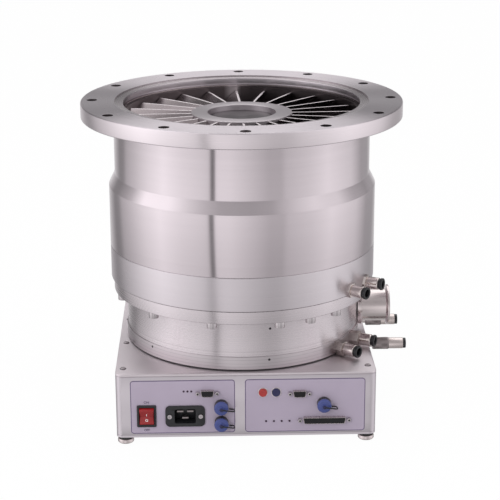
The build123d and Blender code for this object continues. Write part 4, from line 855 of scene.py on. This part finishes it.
def case_walls():
    """Controller walls: the box outline carried up in rows, with two pockets pressed into the front.

    The outline's front run and the rows repeat the pockets' edges. A point that is inside both spans of
    a pocket moves back by its depth, and the repeated points make the pocket's side walls.
    """
    outline = rounded_box(2 * HALF_W, 2 * HALF_D, CORNER, 10)
    split = 33
    inside = np.concatenate([[0, 1, 1, 0] for _ in POCKETS])
    stops = np.concatenate([[x - w / 2, x - w / 2, x + w / 2, x + w / 2] for x, w in POCKETS])
    front = np.stack([stops, np.full_like(stops, -HALF_D)], -1)
    outline = np.concatenate([outline[:split], front, outline[split:]])
    flag_x = np.concatenate([np.zeros(split), inside, np.zeros(len(outline) - split - len(inside))])
    low, high, soft = LOW_Z + 3, TOP_Z - PLATE_T, 0.35
    heights = np.array(
        [low, low + soft * 0.45, low + soft, POCKET_LOW, POCKET_LOW, POCKET_HIGH, POCKET_HIGH, high - soft,
        high - soft * 0.45, high])
    flag_z = np.array([0, 0, 0, 0, 1, 1, 0, 0, 0, 0])
    inset = np.array([soft, soft * 0.3, 0, 0, 0, 0, 0, 0, soft * 0.3, soft])
    scale = 1 - inset[:, None] / np.array([[HALF_W, HALF_D]])
    rows = outline[None] * scale[:, None]
    rows[..., 1] += POCKET_D * flag_x[None] * flag_z[:, None]
    local = np.concatenate([rows, np.broadcast_to(heights[:, None, None], (*rows.shape[:2], 1))], -1)
    faces = grid_faces(1, *rows.shape[:2], False, True)
    faces += [
        list(range(len(outline))), list(range((len(rows) - 1) * len(outline), len(rows) * len(outline)))]
    return build("case_walls", local, faces, "satin")


case = case_walls()
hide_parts("controller_case")
cover = prism(
    "cover_plate", rounded_box(2 * HALF_W, 2 * HALF_D, CORNER, 10), TOP_Z - PLATE_T, TOP_Z, UP, "plate",
    soft=0.8)
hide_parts("top_plate")
screw_x, screw_pitch = HALF_W - 9.5, 95.4
plate_places = [
    axes((sx * screw_x, step * screw_pitch, TOP_Z), (0, 0, 1)) for sx in (-1, 1) for step in (-1.5, -0.5, 0.5,
    1.5)]
plate_screws = cap_screw("plate_screws", 3.2, 1.6, 1.5, 9, plate_places, socket=0.45)
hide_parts("cover_screws")
# painted shadow: a thin dark ring on the plate round each screw head
plate_screw_shadows = lathe(
    "plate_screw_shadow_rings", band(3.0, 4.2, -0.3, 0.05), plate_places, "dark", turns=32, soft=0.02, steps=1)
foot_x, foot_y = HALF_W - 11.5, HALF_D - 11.5
foot_places = [axes((sx * foot_x, sy * foot_y, LOW_Z), (0, 0, -1)) for sx in (-1, 1) for sy in (-1, 1)]
pads = lathe("foot_rubbers", [(0, 0), (9.5, 0), (9.2, 4), (0, 4)], foot_places, "rubber", turns=48, soft=0.4)
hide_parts("foot_pads")
glides = lathe(
    "foot_discs", [(0, 4), (9.6, 4), (10.5, 5), (10.5, 8.6), (9.2, 10), (0, 10)], foot_places, "port",
    turns=64, soft=0.6)
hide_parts("foot_glides")

# ---- front panel
FACE_Y = -HALF_D
SHEET_T, SHEET_ROUND = 0.5, 4
SHEET_Y = FACE_Y - SHEET_T
SHEET_TOP, SHEET_LOW = -332.5, -405.5
SHEETS = ((-149.0, -14.5), (-1.5, 153.5))


def front_place(x, z, y=SHEET_Y):
    """A place on the front panel: local x right, local y up, local z towards the viewer."""
    return axes((x, y, z), (0, -1, 0), (1, 0, 0))


def printed_sheet():
    """Lavender film with a thin dark outline inside its rounded edge."""
    colour = (0.375, 0.325, 0.405)
    paint = Paint("printed_film", colour, 0.5, Specular_IOR_Level=0.25)
    _, x, _, z = paint.where()
    middle, half_h = (SHEET_TOP + SHEET_LOW) / 2 * MM, (SHEET_TOP - SHEET_LOW) / 2 * MM
    corner = SHEET_ROUND * MM
    up = ((z - middle).size() - (half_h - corner)).most(0.0)
    lines = 0.0
    for left, right in SHEETS:
        half_w = (right - left) / 2 * MM
        aside = (x - (left + right) / 2 * MM).size()
        across = (aside - (half_w - corner)).most(0.0)
        inset = (across * across + up * up) ** 0.5 - corner
        near = (half_w + 2 * MM - aside).above(0.0, 0.1 * MM)
        lines = inset.above(-1.05 * MM, 0.15 * MM) * near + lines
    cloud = paint.noise(25.0, 3.0)
    grain = paint.noise(2600.0, 2.0)
    base = paint.mix(cloud, shade(colour, 0.95), shade(colour, 1.05))
    paint.set("Base Color", paint.mix(lines.least(1.0), base, (0.10, 0.075, 0.145)))
    paint.set("Roughness", (cloud - 0.5) * 0.12 + 0.42)
    paint.bump(grain, 1e-5)
    return paint.material


film = printed_sheet()
HOLES = {"left": [(-128.5, -381.0, 19.4, 23.4), (-78.8, -381.5, 27.4, 19.4)], "right": []}


def panel_sheet(side, left, right):
    """A film: its rounded outline and the device holes filled as one flat face, then given a thickness."""
    middle = (SHEET_TOP + SHEET_LOW) / 2
    outline = rounded_box(right - left, SHEET_TOP - SHEET_LOW, SHEET_ROUND, 8)
    loops = [shift(outline, (left + right) / 2, middle)]
    loops += [shift(rounded_box(w, h, 1, 3), x, z) for x, z, w, h in HOLES[side]]
    flat = bmesh.new()
    for loop in loops:
        corners = [flat.verts.new((x, SHEET_Y * MM, z)) for x, z in loop * MM]
        for one, two in zip(corners, corners[1:] + corners[:1]):
            flat.edges.new((one, two))
    bmesh.ops.triangle_fill(flat, edges=flat.edges, use_beauty=True, normal=(0, -1, 0))
    bmesh.ops.recalc_face_normals(flat, faces=flat.faces)
    if flat.faces[0].normal.y > 0:
        bmesh.ops.reverse_faces(flat, faces=flat.faces)
    mesh = bpy.data.meshes.new("panel_sheet_" + side)
    flat.to_mesh(mesh)
    flat.free()
    piece = linked("panel_sheet_" + side, mesh)
    mesh.materials.append(film)
    solid = piece.modifiers.new("thickness", "SOLIDIFY")
    solid.thickness, solid.offset = SHEET_T * MM, -1.0
    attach(piece, ROOT)
    return piece


sheets = [panel_sheet(side, left, right) for side, (left, right) in zip(("left", "right"), SHEETS)]
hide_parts("panel_overlays")


def words(name, text, x, z, size, y, finish="ink", body=ROOT, deep=0.06):
    """Flat lettering on the front panel, made a mesh before it is placed."""
    data = bpy.data.curves.new(name, "FONT")
    data.body, data.size, data.extrude = text, size * MM, deep * MM
    data.align_x, data.align_y, data.offset = "CENTER", "CENTER", 0.02 * size * MM
    source = linked(name + "_curve", data)
    bpy.context.view_layer.update()
    mesh = bpy.data.meshes.new_from_object(source.evaluated_get(bpy.context.evaluated_depsgraph_get()))
    bpy.data.objects.remove(source)
    turn, origin = front_place(x, z, y)
    place = Matrix.Translation((origin * MM).tolist()) @ Matrix(turn.T.tolist()).to_4x4()
    mesh.transform(place)
    mesh.name = name
    mesh.materials.clear()
    mesh.materials.append(MAT[finish])
    piece = linked(name, mesh)
    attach(piece, body)
    return piece


SWITCH_X, SWITCH_Z = -128.5, -381
words("label_on", "ON", SWITCH_X, -362.4, 4.4, SHEET_Y)
words("label_off", "OFF", SWITCH_X, -400.8, 4.2, SHEET_Y)


def window_frame(name, outer, inner, depth, lip, place, finish):
    """A raised frame: outer edge up, over the rim and down the inside wall, as matching loops."""
    soft = 0.5
    centre = outer.mean(0)

    def loop(outline, inset, height):
        towards = centre - outline
        towards /= np.linalg.norm(towards, axis=1)[:, None]
        return np.concatenate([outline + towards * inset, np.full((len(outline), 1), height)], 1)

    rows = np.stack(
        [loop(outer, 0, -0.1), loop(outer, 0, lip - soft), loop(outer, soft * 0.3, lip - soft * 0.3),
        loop(outer, soft, lip), loop(inner, -soft, lip), loop(inner, 0, lip - soft * 0.6),
        loop(inner, 0, -depth), loop(outer, 0, -depth)])
    return build(name, placed(rows, [place]), grid_faces(1, len(rows), len(outer), True, True), finish)


switch_bezel = window_frame(
    "switch_bezel", rounded_box(25, 30, 1.5, 4), rounded_box(19.4, 23.4, 0.6, 4), 3, 1.8,
    front_place(SWITCH_X, SWITCH_Z), "black")
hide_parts("switch_frame")

TILT = math.radians(8)
ROCKER_DISH, ROCKER_HALF = 2.6, 10.13    # depth of the V front and its half height


def make_rocker():
    """Rocker: a shallow V front between two end arcs, extruded across and tilted about its pins."""
    radius, half_w = 11.3, 9.3
    end, back = math.asin(5.0 / radius), math.asin(3.5 / radius)
    arc = np.linspace(-back, end, 7)
    upper = np.stack([-radius * np.sin(arc), radius * np.cos(arc)], -1)
    dish = np.linspace(0, 1, 7)[1:-1]
    curve = np.stack([-2.4 - ROCKER_DISH * np.abs(1 - 2 * dish), radius * math.cos(end) * (1 - 2 * dish)], -1)
    lower = np.stack([-radius * np.sin(arc[::-1]), -radius * np.cos(arc[::-1])], -1)
    outline = softened(np.concatenate([upper, curve, lower]), 0.4, 2)
    turned_y = outline[:, 0] * math.cos(TILT) - outline[:, 1] * math.sin(TILT)
    turned_z = outline[:, 0] * math.sin(TILT) + outline[:, 1] * math.cos(TILT)
    place = axes((SWITCH_X, FACE_Y, SWITCH_Z), (1, 0, 0), (0, 1, 0))
    return prism("rocker_cap", np.stack([turned_y, turned_z], -1), -half_w, half_w, [place], "red",
                 "power_rocker", soft=0.5)


rocker = make_rocker()
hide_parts("power_rocker")


def rocker_mark(name, text, size, height):
    """A mark on the rocker, laid along the slope of its own half of the V, just clear of it."""
    piece = words(name, text, SWITCH_X, SWITCH_Z, size, FACE_Y, "white_ink", "power_rocker", 0.08)
    slope = math.atan2(ROCKER_DISH, ROCKER_HALF)
    lean = Matrix.Rotation(TILT + math.copysign(slope, height), 4, "X")
    out = -2.5 - ROCKER_DISH * abs(height) / ROCKER_HALF
    local = Matrix.Rotation(TILT, 4, "X") @ Vector((0, out, height)) * MM
    centre = Matrix.Translation(Vector((SWITCH_X, FACE_Y, SWITCH_Z)) * MM)
    piece.data.transform(centre @ Matrix.Translation(local) @ lean @ centre.inverted())
    return piece


rocker_mark("mark_one", "I", 5.0, 2.6)
rocker_mark("mark_zero", "O", 4.6, -4.9)

INLET_X, INLET_Z = -78.8, -381.5
inlet_place = front_place(INLET_X, INLET_Z)
socket = window_frame(
    "mains_socket", rounded_box(51, 28.5, 6, 8), rounded_box(27.4, 19.4, 2, 8), 16, 2.4, inlet_place, "black")
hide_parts("power_inlet")
socket_back = prism(
    "mains_socket_back", rounded_box(27.2, 19.2, 2, 8), -16, -14, [inlet_place], "black", soft=0.2)
socket_screws = cap_screw(
    "socket_screws", 3, 1.6, 1.2, 2, [front_place(INLET_X + s * 20, INLET_Z, SHEET_Y - 2.4) for s in (-1, 1)],
    socket=0.4)

# the data ports: x, z, shell width, span of the screws, contacts in the upper row
PORTS = ((-50.0, -350.0, 17.4, 25.0, 5), (68.8, -352.2, 17.4, 25.0, 5), (101.0, -389.2, 55.4, 63.5, 19))


def d_shape(width, height, radius):
    """D outline: a trapezium with its wide side up and rounded corners."""
    lean = height * math.tan(math.radians(10))
    corners = [(width / 2, height / 2), (-width / 2, height / 2), (-width / 2 + lean, -height / 2),
               (width / 2 - lean, -height / 2)]
    return softened(corners, radius, 5)


for number, (x, z, shell_w, span, holes) in enumerate(PORTS, 1):
    here = front_place(x, z)
    shell = window_frame(
        f"port_shell_{number}", d_shape(shell_w, 8.6, 2), d_shape(shell_w - 1.2, 7.4, 1.6), 0.2, 5.5, here,
        "shell")
    if number == 1:
        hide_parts("data_ports")
    rows = [(holes, 1.35), (holes - 1, -1.35)]
    pitch = 2.76
    spots = [
        front_place(x + (i - (n - 1) / 2) * pitch, z + dz, SHEET_Y - 4.7) for n, dz in rows for i in range(n)]
    sockets = lathe(
        f"port_contacts_{number}", band(0.3, 0.5, -0.2, 0.05), spots, "dark", turns=12, soft=0.05, steps=1)
jack_places = [front_place(x + s * span / 2, z) for x, z, _, span, _ in PORTS for s in (-1, 1)]
jacks = prism("jack_posts", polygon(6, 4.8), 0, 5, jack_places, "bolt", soft=0.4)
# painted shade: a dark disc at the top of each jack post stands in for its threaded hole
jack_holes = lathe("jack_holes", rod(1.3, 4.6, 5.06), jack_places, "dark", turns=16, soft=0.05, steps=1)
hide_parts("jackscrews")

LAMPS = [(-80.4 + 4.9 * i, -347.8) for i in range(3)] + [(25.6 + 10.1 * i, -390.7) for i in range(4)]
lamps = lathe(
    "lamp_domes", [(0, -2), (1.5, -2), (1.5, 0.3), (0.9, 0.8), (0, 0.95)], [front_place(x, z) for x,
    z in LAMPS], "lens", turns=24, soft=0.4)
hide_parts("status_lamps")

BUTTONS = (("run_button", 21.6, "red_button", "red_plastic"), ("reset_button", 38.6, "navy", "navy_plastic"))
BUTTON_Z = -350.6
bezels = lathe(
    "bezel_rings", [(5.5, -3), (6, -3), (6.6, 0), (6.6, 0.8), (5.5, 0.8)], [front_place(x, BUTTON_Z) for _, x,
    _, _ in BUTTONS], "polished", turns=48, soft=0.25)
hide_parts("button_bezels")
for body, x, finish, slot_name in BUTTONS:
    knob = lathe(body + "_cap", [(0, -6.4), (5.4, -6.4), (5.4, 2.6), (4.4, 3.2), (0, 2.9)],
                 [front_place(x, BUTTON_Z)], finish, body, turns=48, soft=0.5)
    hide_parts(body)

# ---- round connectors with dust caps
CAPS = ((-32.2, -368.2), (-32.2, -391.0), (100.2, -366.6))
connectors = lathe(
    "connector_barrels", [(5, -4), (6.4, -4), (6.4, 0), (9, 0), (9, 7.6), (7.4, 7.6), (7.4, 9), (5, 9)],
    [front_place(x, z) for x, z in CAPS], "black", turns=48, soft=0.3)
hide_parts("round_connectors")


def grip_cap(name, place, body):
    """Dust cap: turned outline whose rim carries shallow grip waves, with a raised hub."""
    outline = softened(
        [(7.45, 7.9), (9.2, 7.9), (9.2, 11.0), (8.0, 12.3), (3.6, 12.3), (3.6, 14.3), (1.66, 14.3),
        (1.66, 11.3), (0.05, 11.3), (0.05, 9.3), (7.45, 9.3)], 0.5, 3)
    angle = np.linspace(0, 2 * np.pi, 96, endpoint=False)
    radius, height = outline[:, 0:1], outline[:, 1:2]
    grip = np.where(radius > 8.6, 0.25, 0.0) * (1 - np.abs(np.sin(12 * angle))) ** 2
    local = spun(radius - grip, height, angle)
    piece = build(name, placed(local, [place]), grid_faces(1, len(outline), 96, True, True), "blue", body)
    return piece


for number, (x, z) in enumerate(CAPS, 1):
    cap = grip_cap(f"cap_shell_{number}", front_place(x, z), f"dust_cap_{number}")
    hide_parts(f"dust_cap_{number}")


def tube(name, points, radius, finish, sides=10, steps=8):
    """A round tube along a rounded polyline: ring frames turned to face along the path."""
    path = softened(np.array(points, float), 4, steps, closed=False)
    ahead = np.gradient(path, axis=0)
    ahead /= np.linalg.norm(ahead, axis=1)[:, None]
    side = np.cross(ahead, np.array([0.0, 0.0, 1.0]))
    side /= np.linalg.norm(side, axis=1)[:, None]
    up = np.cross(side, ahead)
    angle = np.linspace(0, 2 * np.pi, sides, endpoint=False)
    ring = np.cos(angle)[None, :, None] * side[:, None] + np.sin(angle)[None, :, None] * up[:, None]
    rows = path[:, None] + radius * ring
    rows = np.concatenate([np.tile(path[0], (1, sides, 1)), rows, np.tile(path[-1], (1, sides, 1))])
    return build(name, rows, grid_faces(1, len(rows), sides, False, True), finish)


for number, (x, z) in enumerate(CAPS, 1):
    pin_y = SHEET_Y - 15.8
    strap = tube(
        f"tether_strap_{number}", [(x, pin_y + 0.3, z), (x + 8, pin_y, z - 1), (x + 17, pin_y, z - 2.2),
        (x + 16.6, SHEET_Y - 2.0, z - 4.5), (x + 10.2, SHEET_Y - 1.0, z - 4.5)], 0.9, "black")
    button = lathe(
        f"tether_button_{number}", [(0, 0.4), (2.6, 0.4), (2.4, 1.6), (0, 2.0)],
        [front_place(x, z, SHEET_Y - 14.3)], "navy", turns=32, soft=0.4)
    if number == 1:
        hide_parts("cap_tethers")
